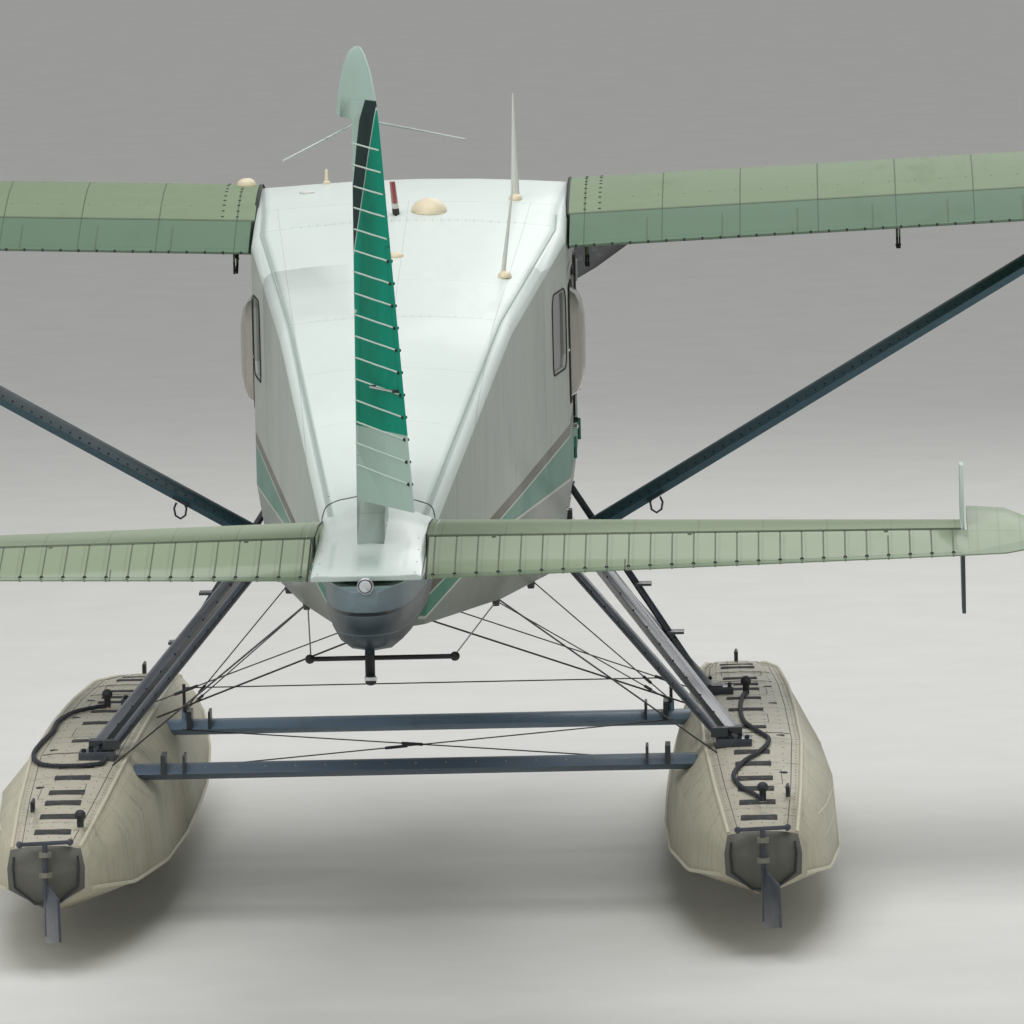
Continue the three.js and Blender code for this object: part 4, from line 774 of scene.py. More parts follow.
def stud_tree():
    """A low domed head on each point, facing along the point's outward vector."""
    t = NodeTree("studs_on_points", [("Radius", "Float"), ("Height", "Float"), ("Crown", "Float")])
    crown = t.node("ShaderNodeMath", {"operation": "MULTIPLY"}, {0: t.given["Radius"], 1: t.given["Crown"]})
    head = t.node("GeometryNodeMeshCone", None, {
        "Vertices": 8, "Radius Top": crown, "Radius Bottom": t.given["Radius"], "Depth": t.given["Height"]})
    turn = t.node("FunctionNodeAlignRotationToVector", {"axis": "Z"}, {"Vector": t.attribute("outward")})
    return t.end(t.node("GeometryNodeInstanceOnPoints", None,
                        {"Points": t.given["Geometry"], "Instance": head, "Rotation": turn}))


def block_tree():
    """A block with sloping sides on each point, of the point's size and turn."""
    t = NodeTree("blocks_on_points", [("Slope", "Float")])
    half = math.sqrt(0.5)
    top = t.node("ShaderNodeMath", {"operation": "MULTIPLY"}, {0: t.given["Slope"], 1: half})
    block = t.node("GeometryNodeMeshCone", None, {
        "Vertices": 4, "Radius Top": top, "Radius Bottom": half, "Depth": 1.0})
    quarter = (0, 0, math.radians(45))
    square = t.node("GeometryNodeTransform", None, {"Geometry": block, "Rotation": quarter})
    turn = t.node("FunctionNodeEulerToRotation", None, {"Euler": t.attribute("turn")})
    return t.end(t.node("GeometryNodeInstanceOnPoints", None, {
        "Points": t.given["Geometry"], "Instance": square, "Rotation": turn, "Scale": t.attribute("size")}))


TUBES = tube_tree()
STRIPS = strip_tree()
STUDS = stud_tree()
BLOCKS = block_tree()


def mesh_of(shape, name):
    """A working shape as a mesh."""
    mesh = bpy.data.meshes.new(name)
    shape.to_mesh(mesh)
    shape.free()
    return mesh


def as_shown(holder):
    """A plain mesh of an object with its modifiers."""
    depsgraph = bpy.context.evaluated_depsgraph_get()
    return bpy.data.meshes.new_from_object(holder.evaluated_get(depsgraph), depsgraph=depsgraph)


def added(name, mesh, body, smooth=50):
    """A finished mesh as a piece of one body."""
    mesh.name = name
    smooth_by_angle(mesh, smooth)
    piece = link(bpy.data.objects.new(name, mesh))
    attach(piece, body)
    return piece


def grown(name, tree, points, edges, inputs, body, vectors=None, slot=None):
    """A plain mesh from a tree that is given points, edges and a vector for each point."""
    seed = bpy.data.meshes.new(name)
    seed.from_pydata(points, edges, [])
    for key, values in (vectors or {}).items():
        layer = seed.attributes.new(key, "FLOAT_VECTOR", "POINT")
        layer.data.foreach_set("vector", [c for value in values for c in value])
    holder = link(bpy.data.objects.new(f"{name}_seed", seed))
    modifier = holder.modifiers.new("grown", "NODES")
    modifier.node_group = tree
    for item in tree.interface.items_tree:
        if item.in_out == "INPUT" and item.name in inputs:
            modifier[item.identifier] = inputs[item.name]
    mesh = as_shown(holder)
    holder.modifiers.clear()
    bpy.data.objects.remove(holder)
    return added(name, mesh, body)


def chains(paths):
    """The points and edges of several paths."""
    points, edges = [], []
    for path in paths:
        edges.extend((len(points) + k, len(points) + k + 1) for k in range(len(path) - 1))
        points.extend(path)
    return points, edges


def tubes(name, paths, radius, paint, body="airframe", sides=8, slot=None):
    inputs = {"Radius": radius, "Sides": sides, "Material": PAINT[paint]}
    return grown(name, TUBES, *chains(paths), inputs, body, slot=slot)


def strips(name, paths, width, depth, paint, body="airframe"):
    inputs = {"Width": width, "Depth": depth, "Material": PAINT[paint]}
    return grown(name, STRIPS, *chains(paths), inputs, body)


def studs(name, places, radius, height, paint, body="airframe", crown=0.6, sunk=0.0005):
    """Heads on places, each of which is a point and its outward direction."""
    points = [p - n * sunk for p, n in places]
    inputs = {"Radius": radius, "Height": height, "Crown": crown, "Material": PAINT[paint]}
    return grown(name, STUDS, points, [], inputs, body, {"outward": [n for _, n in places]})


def blocks(name, rows, paint, slope=0.9):
    """Blocks that stand on their places: rows of (foot point, size, turn in degrees)."""
    turns = [[math.radians(a) for a in turn] for _, _, turn in rows]
    inputs = {"Slope": slope, "Material": PAINT[paint]}
    return grown(name, BLOCKS, [place for place, _, _ in rows], [], inputs, "airframe",
                 {"size": [size for _, size, _ in rows], "turn": turns})


# Places on the solids
SKINS = {}


def skin(node):
    if node not in SKINS:
        mesh = frame["nodes"][node].data
        SKINS[node] = BVHTree.FromPolygons([v.co.copy() for v in mesh.vertices],
                                           [tuple(p.vertices) for p in mesh.polygons])
    return SKINS[node]


NUDGE = Vector((0.0007, 0.0005, 0.0006))


def hit(nodes, start, aim):
    """The first place that a ray from start meets on the nodes: its point and outward direction."""
    found = None
    way = Vector(aim).normalized()
    for node in [nodes] if isinstance(nodes, str) else nodes:
        for begin in (Vector(start), Vector(start) + NUDGE):
            point, normal, _, reach = skin(node).ray_cast(begin, way)
            if point is not None:
                if found is None or reach < found[2]:
                    found = (point, normal if normal.dot(way) < 0 else -normal, reach)
                break
    return found[:2] if found else None


def hits(nodes, starts, aim):
    return [place for place in (hit(nodes, start, aim) for start in starts) if place]


HIGH = 6.0


def over(nodes, points):
    """Places on top of the nodes over stations and distances to port."""
    return hits(nodes, [at(x, y, HIGH) for x, y in points], DOWN)


def beside(nodes, points, side):
    """Places on the outer side of the nodes at stations and heights."""
    return hits(nodes, [at(x, side * 4, z) for x, z in points], (0, -side, 0))


def raised(places, lift):
    """Points that stand off their places."""
    return [point + normal * lift for point, normal in places]


def spaced(low, high, pitch):
    count = max(1, round((high - low) / pitch))
    return [low + (high - low) * k / count for k in range(count + 1)]


def part_way(start, end, share):
    return [a + (b - a) * share for a, b in zip(start, end)]


def section_ring(node, y, tolerance=0.0006):
    """The rim of a wing-like node where it is cut square at a distance to port."""
    rim = [v.co.copy() for v in frame["nodes"][node].data.vertices if abs(v.co.y - y) < tolerance]
    nose = max(rim, key=lambda p: p.x)
    tail = min(rim, key=lambda p: p.x)
    slope = (nose.z - tail.z) / (nose.x - tail.x)
    upper = [p for p in rim if p.z >= tail.z + (p.x - tail.x) * slope - 1e-5]
    lower = [p for p in rim if p.z < tail.z + (p.x - tail.x) * slope - 1e-5]
    ring = sorted(upper, key=lambda p: p.x) + sorted(lower, key=lambda p: -p.x)
    kept = [ring[0]]
    for point in ring[1:]:
        if (point - kept[-1]).length > 0.004:
            kept.append(point)
    return [*kept, kept[0]]


def loop_of(points, corner=0.03, steps=4):
    """A closed flat outline with rounded corners from (across, up) points."""
    rounded = []
    for k, here in enumerate(points):
        here = Vector(here)
        before = Vector(points[k - 1]) - here
        after = Vector(points[(k + 1) % len(points)]) - here
        reach = min(corner, before.length / 2, after.length / 2)
        start, end = here + before.normalized() * reach, here + after.normalized() * reach
        for j in range(steps + 1):
            t = j / steps
            rounded.append(start * (1 - t) ** 2 + here * (2 * t * (1 - t)) + end * t ** 2)
    return [*rounded, rounded[0]]


def dense(outline, pitch=0.05):
    """The outline with points no further apart than the pitch."""
    filled = []
    for first, second in zip(outline, outline[1:]):
        count = max(1, math.ceil((second - first).length / pitch))
        filled.extend(first.lerp(second, k / count) for k in range(count))
    return [*filled, outline[-1]]


# Shapes in plain mesh code
POINT_RADIUS = 0.0004


def lofted(name, rings, paint, body="airframe", smooth=40):
    """A closed skin over rings of the same number of points, with flat ends."""
    shape = bmesh.new()
    made = [[shape.verts.new(p) for p in ring] for ring in rings]
    for first, second in zip(made, made[1:]):
        for k in range(len(first)):
            n = (k + 1) % len(first)
            shape.faces.new((first[k], first[n], second[n], second[k]))
    shape.faces.new(made[0][::-1])
    shape.faces.new(made[-1])
    bmesh.ops.recalc_face_normals(shape, faces=shape.faces)
    mesh = mesh_of(shape, name)
    mesh.materials.append(PAINT[paint])
    return added(name, mesh, body, smooth)


def turned(name, centre, profile, paint, aim=UP, stretch=(1, 1), sides=24):
    """A form turned about an axis from (radius, height) points, drawn out by the stretch across it."""
    axis = Vector(aim).normalized()
    first = (axis.orthogonal() if abs(axis.x) > 0.5 else axis.cross(Vector((0, 1, 0)))).normalized()
    second = axis.cross(first)
    angles = [2 * math.pi * k / sides for k in range(sides)]
    rings = []
    for radius, height in profile:
        reach = max(radius, POINT_RADIUS)
        rings.append([centre + axis * height + first * (reach * stretch[0] * math.cos(a))
                      + second * (reach * stretch[1] * math.sin(a)) for a in angles])
    return lofted(name, rings, paint)


def dome_profile(radius, height, lip=0.004, steps=6):
    arc = [math.pi / 2 * k / steps for k in range(steps + 1)]
    return [(radius * 1.04, -0.006), (radius * 1.04, lip),
            *[(radius * math.cos(a), lip + (height - lip) * math.sin(a)) for a in arc]]


def foil_ring(centre, chord, thick):
    """A level streamlined section."""
    outline = [(0.5, 0), (0.35, 0.38), (0.1, 0.5), (-0.2, 0.38), (-0.5, 0.03),
               (-0.5, -0.03), (-0.2, -0.38), (0.1, -0.5), (0.35, -0.38)]
    return [centre + Vector((x * chord, y * thick, 0)) for x, y in outline]


# Ropes on the decks
ROPE = {"radius": 0.0125, "lift": 0.004, "strands": 3, "groove": 0.14, "lay": 0.085, "step": 0.0125,
        "sides": 15}
# columns: station, distance to port
ROPES = {
    "rope_left": [(8.827, 1.764), (8.740, 1.830), (8.570, 1.925), (8.200, 1.985), (7.770, 1.990),
                  (7.280, 2.030), (6.860, 2.040), (6.600, 1.990), (6.490, 1.890), (6.480, 1.770),
                  (6.530, 1.675), (6.610, 1.650), (6.688, 1.650)],
    "rope_right": [(8.820, -1.750), (8.640, -1.732), (8.100, -1.722), (7.520, -1.745), (7.120, -1.815),
                   (6.800, -1.880), (6.480, -1.830), (6.240, -1.750), (5.900, -1.695), (5.620, -1.730),
                   (5.420, -1.798), (5.300, -1.8425)],
}


def float_middle(x):
    """How far out a float's middle line is at a station."""
    return FLOAT_STERN_Y - FLOAT_TOE * max(0, x - FLOAT_STERN)


def deck_top(x, y):
    """The height of a deck, which falls away from its middle line."""
    edge = between(FLOAT, 1, x) - KEEL_DEPTH
    share = abs(abs(y) - float_middle(x)) / between(FLOAT, 2, x)
    crown = 1 - 0.2 * (share / 0.55) if share < 0.55 else 0.8 * (1 - share) / 0.45
    return edge + DECK_CROWN * crown


def smooth_route(points, steps=24):
    """A curve through the points, carried on straight past both ends."""
    ends = [points[0] * 2 - points[1], *points, points[-1] * 2 - points[-2]]
    route = []
    for before, start, end, after in zip(ends, ends[1:], ends[2:], ends[3:]):
        for k in range(steps):
            t = k / steps
            into, out = (end - before) * 0.5, (after - start) * 0.5
            route.append(start * (2 * t**3 - 3 * t**2 + 1) + into * (t**3 - 2 * t**2 + t)
                         + end * (3 * t**2 - 2 * t**3) + out * (t**3 - t**2))
    return [*route, points[-1]]


def evenly(route, step):
    """The route with points at even steps along it, and its length."""
    reach = [0.0]
    for first, second in zip(route, route[1:]):
        reach.append(reach[-1] + (second - first).length)
    count = round(reach[-1] / step)
    spots, k = [], 0
    for j in range(count + 1):
        wanted = reach[-1] * j / count
        while k < len(route) - 2 and reach[k + 1] < wanted:
            k += 1
        share = (wanted - reach[k]) / (reach[k + 1] - reach[k])
        spots.append(route[k].lerp(route[k + 1], share))
    return spots, reach[-1]


def laid_rope(name):
    """A three-strand rope along its route, in place of the rope's part, which is hidden."""
    lift = ROPE["radius"] + ROPE["lift"]
    points = [at(x, y, deck_top(x, y) + lift) for x, y in ROPES[name]]
    spots, length = evenly(smooth_route(points), ROPE["step"])
    rings = []
    for k, spot in enumerate(spots):
        ahead = (spots[min(k + 1, len(spots) - 1)] - spots[max(k - 1, 0)]).normalized()
        across = ahead.cross(UP).normalized()
        up = across.cross(ahead)
        twist = 2 * math.pi * k * ROPE["step"] / ROPE["lay"]
        ring = []
        for j in range(ROPE["sides"]):
            angle = 2 * math.pi * j / ROPE["sides"]
            lobe = abs(math.cos(ROPE["strands"] * (angle - twist / ROPE["strands"]) / 2))
            reach = ROPE["radius"] * (1 - ROPE["groove"] + ROPE["groove"] * lobe)
            ring.append(spot + (across * math.cos(angle) + up * math.sin(angle)) * reach)
        rings.append(ring)
    piece = lofted(f"{name}_laid", rings, "rope", BODY_OF[name], 70)
    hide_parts(name)


for rope_name in ROPES:
    laid_rope(rope_name)


# Solids with softened edges. Those that aren't listed have the paint of their own name.
PAINT_OF = {
    "cabin_belly": "cabin", "cabin_roof": "cabin", "cabin_side": "cabin", "cockpit_door": "cabin",
    "cabin_door": "cabin", "windscreen_frame": "body", "rear_fuselage": "body", "cowling": "body",
    "windscreen": "pane", "cockpit_window": "pane", "bubble_window": "bubble", "rear_window": "dark_pane",
    "instrument_panel": "panel", "tail_fairing": "fairing", "tail_cone": "cone", "wing_strut": "strut",
    "exhaust": "heat", "propeller": "blade", "spinner": "chrome", "float_strut_front": "gear",
    "float_struts_rear": "gear", "water_rudder": "gear", "spreader_front": "spreader",
    "spreader_rear": "rear_spreader", "brace_wires": "steel", "side_wire": "steel",
    "roof_aerial_front": "aerial", "roof_aerial_rear": "aerial", "roof_dome": "plastic",
}
SMOOTH_ANGLE = 32
MERGE_DISTANCE = 1e-5
FLAT_ANGLE = math.radians(0.4)
EDGE_ANGLE = math.radians(38)
# columns: name's start, edge softening
SOFT_EDGES = [("float_strut", 0.004), ("spreader", 0.004), ("instrument_panel", 0.004),
              ("exhaust", 0.003), ("tail_fairing", 0.003), ("water_rudder", 0.002),
              ("cockpit_door", 0.002), ("cabin_door", 0.002)]


def dressed(node, paint, bevel=0.0):
    """A CAD node's shape with merged corners, softened edges and smooth shading, shown in its place."""
    mesh = frame["nodes"][node].data.copy()
    shape = bmesh.new()
    shape.from_mesh(mesh)
    bmesh.ops.remove_doubles(shape, verts=shape.verts, dist=MERGE_DISTANCE)
    bmesh.ops.dissolve_limit(shape, angle_limit=FLAT_ANGLE, verts=shape.verts, edges=shape.edges)
    if bevel:
        sharp = [e for e in shape.edges if len(e.link_faces) == 2 and e.calc_face_angle() > EDGE_ANGLE]
        bmesh.ops.bevel(shape, geom=sharp, offset=bevel, segments=2, profile=0.5, affect="EDGES",
                        clamp_overlap=True)
    bmesh.ops.triangulate(shape, faces=[f for f in shape.faces if len(f.verts) > 4])
    shape.to_mesh(mesh)
    shape.free()
    mesh.materials.clear()
    mesh.materials.append(PAINT[paint])
    smooth_by_angle(mesh, SMOOTH_ANGLE)
    piece = link(bpy.data.objects.new(f"{node}_finish", mesh))
    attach(piece, BODY_OF[node])
    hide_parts(node)


SEATS = ("crew_seats", "cabin_seats")
for cad_node in frame["nodes"]:
    if cad_node in ROPES or cad_node in SEATS:
        continue
    plain_name = cad_node.removesuffix("_left").removesuffix("_right")
    softening = next((size for start, size in SOFT_EDGES if cad_node.startswith(start)), 0.0)
    dressed(cad_node, PAINT_OF.get(plain_name, plain_name), softening)


# Tail
RUDDER_RIBS = [2.066 - RIB_PITCH * k for k in range(16)]


def on_rudder(height, behind, face):
    """A place on a face of the rudder at a height and a distance behind its hinge."""
    turn = Matrix.Rotation(math.radians(RUDDER_REST), 4, "Z")
    return hit("rudder", HINGE + turn @ Vector((-behind, face * 0.5, height)), turn @ Vector((0, -face, 0)))


def rudder_ribs():
    paths, ends = [], []
    for z in RUDDER_RIBS:
        chord = between(RUDDER_CHORD, 1, z)
        for face in (1, -1):
            reaches = spaced(-0.02, chord - 0.012, 0.06)
            spots = [on_rudder(z - behind * RIB_FALL, behind, face) for behind in reaches]
            paths.append(raised([s for s in spots if s], 0.001))
            if z < 1.6:
                ends.append(on_rudder(z - chord * RIB_FALL, chord - 0.018, face))
    # the ribs are painted pale mint as a painted highlight
    tubes("rudder_ribs", paths, 0.0045, "rib_mint", "rudder", 6)
    studs("rudder_rib_ends", [e for e in ends if e], 0.010, 0.010, "rubber", "rudder")
    arm = [on_rudder(0.905, behind, 1) for behind in (0.30, 0.62)]
    rod = raised([a for a in arm if a], 0.030)
    tubes("rudder_tab_rod", [rod], 0.006, "chrome", "rudder")
    tubes("rudder_tab_horns", [[point, point - normal * 0.035]
                               for point, (_, normal) in zip(rod, arm)], 0.009, "dark_trim", "rudder")


def elevator_ribs(ending, side):
    node = f"elevator_{ending}"
    paths, heads, hinge_heads = [], [], []
    for y in spaced(0.318, 2.822, RIB_PITCH):
        chord = between(ELEVATOR_CHORD, 1, y) * math.cos(math.radians(ELEVATOR_REST))
        edge = HINGE_STATION - chord
        stations = spaced(HINGE_STATION, edge + 0.006, -0.09)
        for aim, z in ((DOWN, HIGH), (UP, -2.0)):
            spots = hits(node, [at(x, side * y, z) for x in stations], aim)
            paths.append(raised(spots, 0.0005))
            heads.extend(hits(node, [at(edge + 0.040, side * y, z)], aim))
        hinge_heads.extend(over(node, [(HINGE_STATION - 0.005, side * y)]))
    tubes(f"elevator_ribs_{ending}", paths, 0.0035, "rib_sage", "elevator", 6)
    studs(f"elevator_rib_heads_{ending}", heads, 0.0105, 0.008, "rubber", "elevator")
    studs(f"elevator_hinge_heads_{ending}", hinge_heads, 0.006, 0.004, "rubber", "elevator")


# columns: node's start, inner end
TAIL_ROOTS = [("tailplane", 0.268), ("elevator", 0.282)]
SEAL_SHIFT = 0.003


def tail_seals(ending, side):
    for start, root in TAIL_ROOTS:
        node = f"{start}_{ending}"
        ring = [point + Vector((0, side * SEAL_SHIFT, 0)) for point in section_ring(node, side * root)]
        tubes(f"{node}_root_seal", [ring], 0.004, "rubber", BODY_OF[node])
    heads = over(f"tailplane_{ending}", [(x, side * 0.31) for x in spaced(0.90, 1.80, 0.1)])
    studs(f"tailplane_root_heads_{ending}", heads, 0.007, 0.004, "bolt")


# the steering bar's station and height
BAR_AT = 0.40
BAR_HEIGHT = -0.398


def tail_trim():
    arc = [(1.82, 0.278), (2.03, 0.280), (2.145, 0.265), (2.186, 0.234), (2.180, 0.184), (2.165, 0.122),
           (2.155, 0.060)]
    seams = []
    for side, back in ((1, 0.0), (-1, 0.03)):
        route = smooth_route([Vector((x - back, side * y, 0)) for x, y in arc], 5)
        seams.append(raised(over(["tail_fairing", "rear_fuselage"], [(p.x, p.y) for p in route]), 0.0005))
    tubes("tail_fairing_seam", seams, 0.0035, "rubber")
    for name, place, profile, paint, aim in (
        ("post_ring", (0.380, -0.002, -0.482),
         [(0.025, 0.0), (0.031, 0.006), (0.031, 0.020), (0.025, 0.026)], "chrome", DOWN),
        ("post_tip", (0.380, -0.002, -0.510), dome_profile(0.026, 0.020), "rubber", DOWN),
        ("light_ring", (0.010, 0, -0.012),
         [(0.041, 0.0), (0.041, 0.018), (0.034, 0.024), (0.030, 0.010)], "bolt", AFT),
        ("light_lens", (0.012, 0, -0.012), dome_profile(0.029, 0.030), "chrome", AFT),
        ("beacon", (1.32, 0, 0.42), dome_profile(0.030, 0.05), "red", UP),
    ):
        turned(f"tail_{name}", at(*place), profile, paint, aim)
    shelf = [(0.16, 0.235), (0.45, 0.235), (0.80, 0.235), (1.15, 0.225)]
    screws = over("tail_fairing", [(x, side * y) for side in (1, -1) for x, y in shelf])
    studs("tail_shelf_screws", screws, 0.006, 0.003, "bolt")
    caps = [(at(BAR_AT, y, BAR_HEIGHT), Vector((0, math.copysign(1, y), 0))) for y in (0.294, -0.414)]
    studs("steering_bar_caps", caps, 0.022, 0.014, "rubber")


rudder_ribs()
on_both_sides(elevator_ribs)
on_both_sides(tail_seals)
tail_trim()


# Wings
TRAILING_EDGE = 7.62
STUD_PITCH = 0.096
BRACKETS = [0.95, 2.63, 4.31]
# columns: node's start, inner end, outer end
EDGE_PARTS = [("flap", 0.90, 4.97), ("aileron", 5.07, 8.44)]


def wing_parts(ending, side):
    wing = f"wing_{ending}"
    tubes(f"wing_root_seal_{ending}", [section_ring(wing, side * 0.8453)], 0.0085, "rubber")
    rows = [(x, side * y) for y in (0.94, 1.02) for x in spaced(8.18, 9.52, 0.11)]
    studs(f"wing_root_screws_{ending}", over(wing, rows), 0.010, 0.004, "rubber")
    under = hits(wing, [at(x, y, 0.2) for x, y in rows], UP)
    studs(f"wing_root_screws_below_{ending}", under, 0.0065, 0.003, "rubber")
    spar = [(x, side * y) for x in (9.02, 8.38) for y in spaced(1.2, 8.7, 0.14)]
    studs(f"wing_spar_rivets_{ending}", over(wing, spar), 0.005, 0.0025, "rib_sage")
    for name, low, high in EDGE_PARTS:
        node = f"{name}_{ending}"
        lip = over(node, [(TRAILING_EDGE + 0.008, side * y) for y in spaced(low, high, STUD_PITCH)])
        back = Vector((-1, 0, -0.45)).normalized()
        studs(f"{name}_edge_studs_{ending}", [(p - Vector((0.006, 0, 0.004)), back) for p, _ in lip],
              0.0075, 0.016, "rubber", node)
        stations = spaced(TRAILING_EDGE + 0.02, 7.98, 0.07)
        ribs = [raised(over(node, [(x, side * y) for x in stations]), 0.0)
                for y in spaced(low + 0.38, high - 0.05, WING_RIBS)]
        tubes(f"{name}_rib_caps_{ending}", ribs, 0.0035, "rib_sage", node, 6)
    pivots = []
    for y in BRACKETS:
        low = hits([wing, f"flap_{ending}"], [at(8.10, side * y, 0.1), at(8.06, side * y, 0.1)], UP)
        if low:
            pivots.append((low[0][0], DOWN))
    studs(f"flap_bracket_knobs_{ending}", pivots, 0.017, 0.024, "rubber", sunk=0.002)
    light = hit(wing, at(9.2, side * 9.5, 1.36), (0, -side, 0))
    if light:
        paint = "red" if side > 0 else "green_lens"
        sunk = light[0] - Vector((0, side * 0.004, 0))
        dome = dome_profile(0.030, 0.022)
        turned(f"wing_tip_light_{ending}", sunk, dome, paint, (0, side, 0), (1.6, 0.7))


STRUT_FOOT = (9.03, 0.77, -0.677)
STRUT_HEAD = (8.49, 3.97, 1.229)
STRUT_TILT = 31
TIE_DOWN = {"left": 1.326, "right": -1.282}


def wing_strut_parts(ending, side):
    node = f"wing_strut_{ending}"
    rows = []
    for offset in (-0.085, 0.055):
        for share in spaced(0.02, 0.98, 0.016):
            x, y, _ = part_way(STRUT_FOOT, STRUT_HEAD, share)
            rows.append((x + offset, side * y))
    studs(f"strut_rivets_{ending}", over(node, rows), 0.0065, 0.004, "rubber")
    low = hit(node, at(8.9, TIE_DOWN[ending], -3), UP)
    if low:
        foot = low[0]
        bends = [(-0.6, 0), (-1, 0.03), (-0.8, 0.07), (0, 0.088), (0.8, 0.07), (1, 0.03), (0.6, 0)]
        loop = [foot + Vector((0, a * 0.034, -b)) for a, b in bends]
        tubes(f"tie_down_ring_{ending}", [loop], 0.006, "dark_trim")
        plate = (foot + Vector((0, 0, 0.004)), (0.09, 0.10, 0.016), (STRUT_TILT * side, 0, 0))
        blocks(f"tie_down_plate_{ending}", [plate], "dark_trim")


on_both_sides(wing_parts)
on_both_sides(wing_strut_parts)


# Roof, sides and nose
ROOF = ["cabin_roof", "rear_fuselage"]
# columns: piece, its foot, its top, paint
BLADE_AERIAL = [("foot", 0.0, 0.040, "rubber"), ("stem", 0.040, 0.068, "aerial"),
                ("blade", 0.071, 0.185, "red")]
ROOF_STUB = [(0.020, -0.01), (0.020, 0.012), (0.010, 0.018), (0.008, 0.075), (0.004, 0.082)]
# columns: name, station, distance to port, profile, paint
ROOF_TURNED = [
    ("roof_stub", 8.9, 0.48, ROOF_STUB, "plastic"),
    ("roof_button", 6.72, 0.037, dome_profile(0.040, 0.026), "plastic"),
    ("wing_root_dome", 9.0, 0.922, dome_profile(0.052, 0.040), "plastic"),
    ("roof_vent", 8.63, 0.577, dome_profile(0.040, 0.014), "aerial"),
]


def roof_parts():
    base = at(7.823, 0.068, 1.232)
    for name, low, high, paint in BLADE_AERIAL:
        rings = [foil_ring(base + Vector((-h * 0.16, h * 0.09, h)), 0.10 - h * 0.16, 0.040 - h * 0.05)
                 for h in (low, high)]
        lofted(f"blade_aerial_{name}", rings, paint)
    for name, x, y, profile, paint in ROOF_TURNED:
        turned(name, hit([*ROOF, "wing_left"], at(x, y, HIGH), DOWN)[0], profile, paint)
    for node in ("roof_aerial_front", "roof_aerial_rear"):
        foot = min((v.co for v in frame["nodes"][node].data.vertices), key=lambda p: p.z)
        spot = hit(ROOF, (foot.x, foot.y, 8), DOWN)
        turned(f"{node}_foot", spot[0], dome_profile(0.045, 0.030), "plastic", UP, (1.5, 0.8))
    rows = [(x, y) for x in (5.23, 7.64, 7.68) for y in spaced(-0.62, 0.62, 0.045)
            if abs(y) < 0.1 + x * 0.068]
    studs("roof_frame_rivets", over(ROOF, rows), 0.0042, 0.002, "bead_mint")
    corner = [(x, between(BODY_HALF, 1, x) - 0.055) for x in spaced(2.3, 7.9, 0.15)]
    beads = [raised(over(ROOF, [(x, side * y) for x, y in corner]), 0.0) for side in (1, -1)]
    tubes("roof_corner_beads", beads, 0.0045, "bead_mint", sides=6)


def rectangle(x0, x1, z0, z1):
    return [(x0, z0), (x1, z0), (x1, z1), (x0, z1)]


# columns: station, height
REAR_WINDOW = [(6.93, 0.43), (7.44, 0.43), (7.495, 0.49), (7.495, 0.78), (7.45, 0.835), (6.985, 0.835),
               (6.93, 0.78)]
COCKPIT_WINDOW = rectangle(9.21, 9.66, 0.39, 0.88)
BUBBLE = rectangle(7.76, 8.42, 0.225, 0.805)
FRONT_WINDOW = rectangle(8.64, 9.06, 0.43, 0.84)
FRONT_PANE = (0.824, 0.832)


def grown_outline(points, by):
    middle = (sum(p[0] for p in points) / len(points), sum(p[1] for p in points) / len(points))
    return [(x + math.copysign(by, x - middle[0]), z + math.copysign(by, z - middle[1])) for x, z in points]


def side_parts(ending, side):
    wall, crew, cabin = f"cabin_side_{ending}", f"cockpit_door_{ending}", f"cabin_door_{ending}"
    # columns: name, outline, how far outside it, node behind, body, radius, corner
    for name, outline, by, node, body, radius, corner in (
        ("rear_window_rim", REAR_WINDOW, 0.012, wall, "airframe", 0.006, 0.06),
        ("cockpit_window_rim", COCKPIT_WINDOW, 0.014, crew, crew, 0.009, 0.06),
        ("bubble_rim", BUBBLE, 0.018, cabin, cabin, 0.011, 0.09),
        ("front_window_rim", FRONT_WINDOW, 0.014, wall, "airframe", 0.009, 0.06),
    ):
        path = dense(loop_of(grown_outline(outline, by), corner), 0.06)
        spots = beside(node, [(p.x, p.y) for p in path], side)
        tubes(f"{name}_{ending}", [raised(spots, 0.0)], radius, "rubber", body)
    glass = dense(loop_of(grown_outline(FRONT_WINDOW, 0.004), 0.05), 0.1)[:-1]
    rings = [[at(p.x, side * y, p.y) for p in glass] for y in FRONT_PANE]
    lofted(f"front_window_{ending}", rings, "dark_pane", smooth=30)
    for node, x, z in ((crew, 9.23, 0.16), (cabin, 8.38, 0.02)):
        grip = beside(node, [(x, z), (x + 0.11, z)], side)
        posts = [[point, point + normal * 0.022] for point, normal in grip]
        tubes(f"{node}_handle", [[posts[0][1], posts[1][1]], *posts], 0.008, "chrome", node)
    latches = beside(cabin, [(x, z) for x in (7.70, 8.49) for z in (-0.36, 0.50)], side)
    studs(f"cabin_door_latches_{ending}", latches, 0.014, 0.008, "chrome", cabin)
    studs(f"side_knob_{ending}", beside(wall, [(8.6, 0.045)], side), 0.020, 0.026, "rubber")
    rows = [(x, z) for x in (5.23, 6.12, 7.56) for z in spaced(-0.42, 0.5, 0.05)]
    heads = beside(["rear_fuselage", wall], rows, side)
    studs(f"side_frame_rivets_{ending}", heads, 0.0045, 0.002, "bead_mint")
    steps = beside(["cabin_belly", wall], [(8.30, -0.36), (9.30, -0.36)], side)
    posts = [[point, point + normal * 0.012] for point, normal in steps]
    tubes(f"door_sill_bolts_{ending}", posts, 0.010, "bolt")


def right_side_parts():
    spot = beside(["cabin_side_right", "cabin_belly"], [(9.2, -0.364)], -1)[0][0]
    turned("side_ring_right", spot, [(0.030, 0.0), (0.030, 0.02), (0.018, 0.028)], "dark_trim", (0, -1, 0))
    strip = raised(beside("cabin_side_right", [(8.6, z) for z in (0.067, 0.15, 0.242)], -1), 0.006)
    strips("side_strip_right", [strip], 0.045, 0.012, "rubber")


BLADES = 3
BLADE_ROOT = 0.19


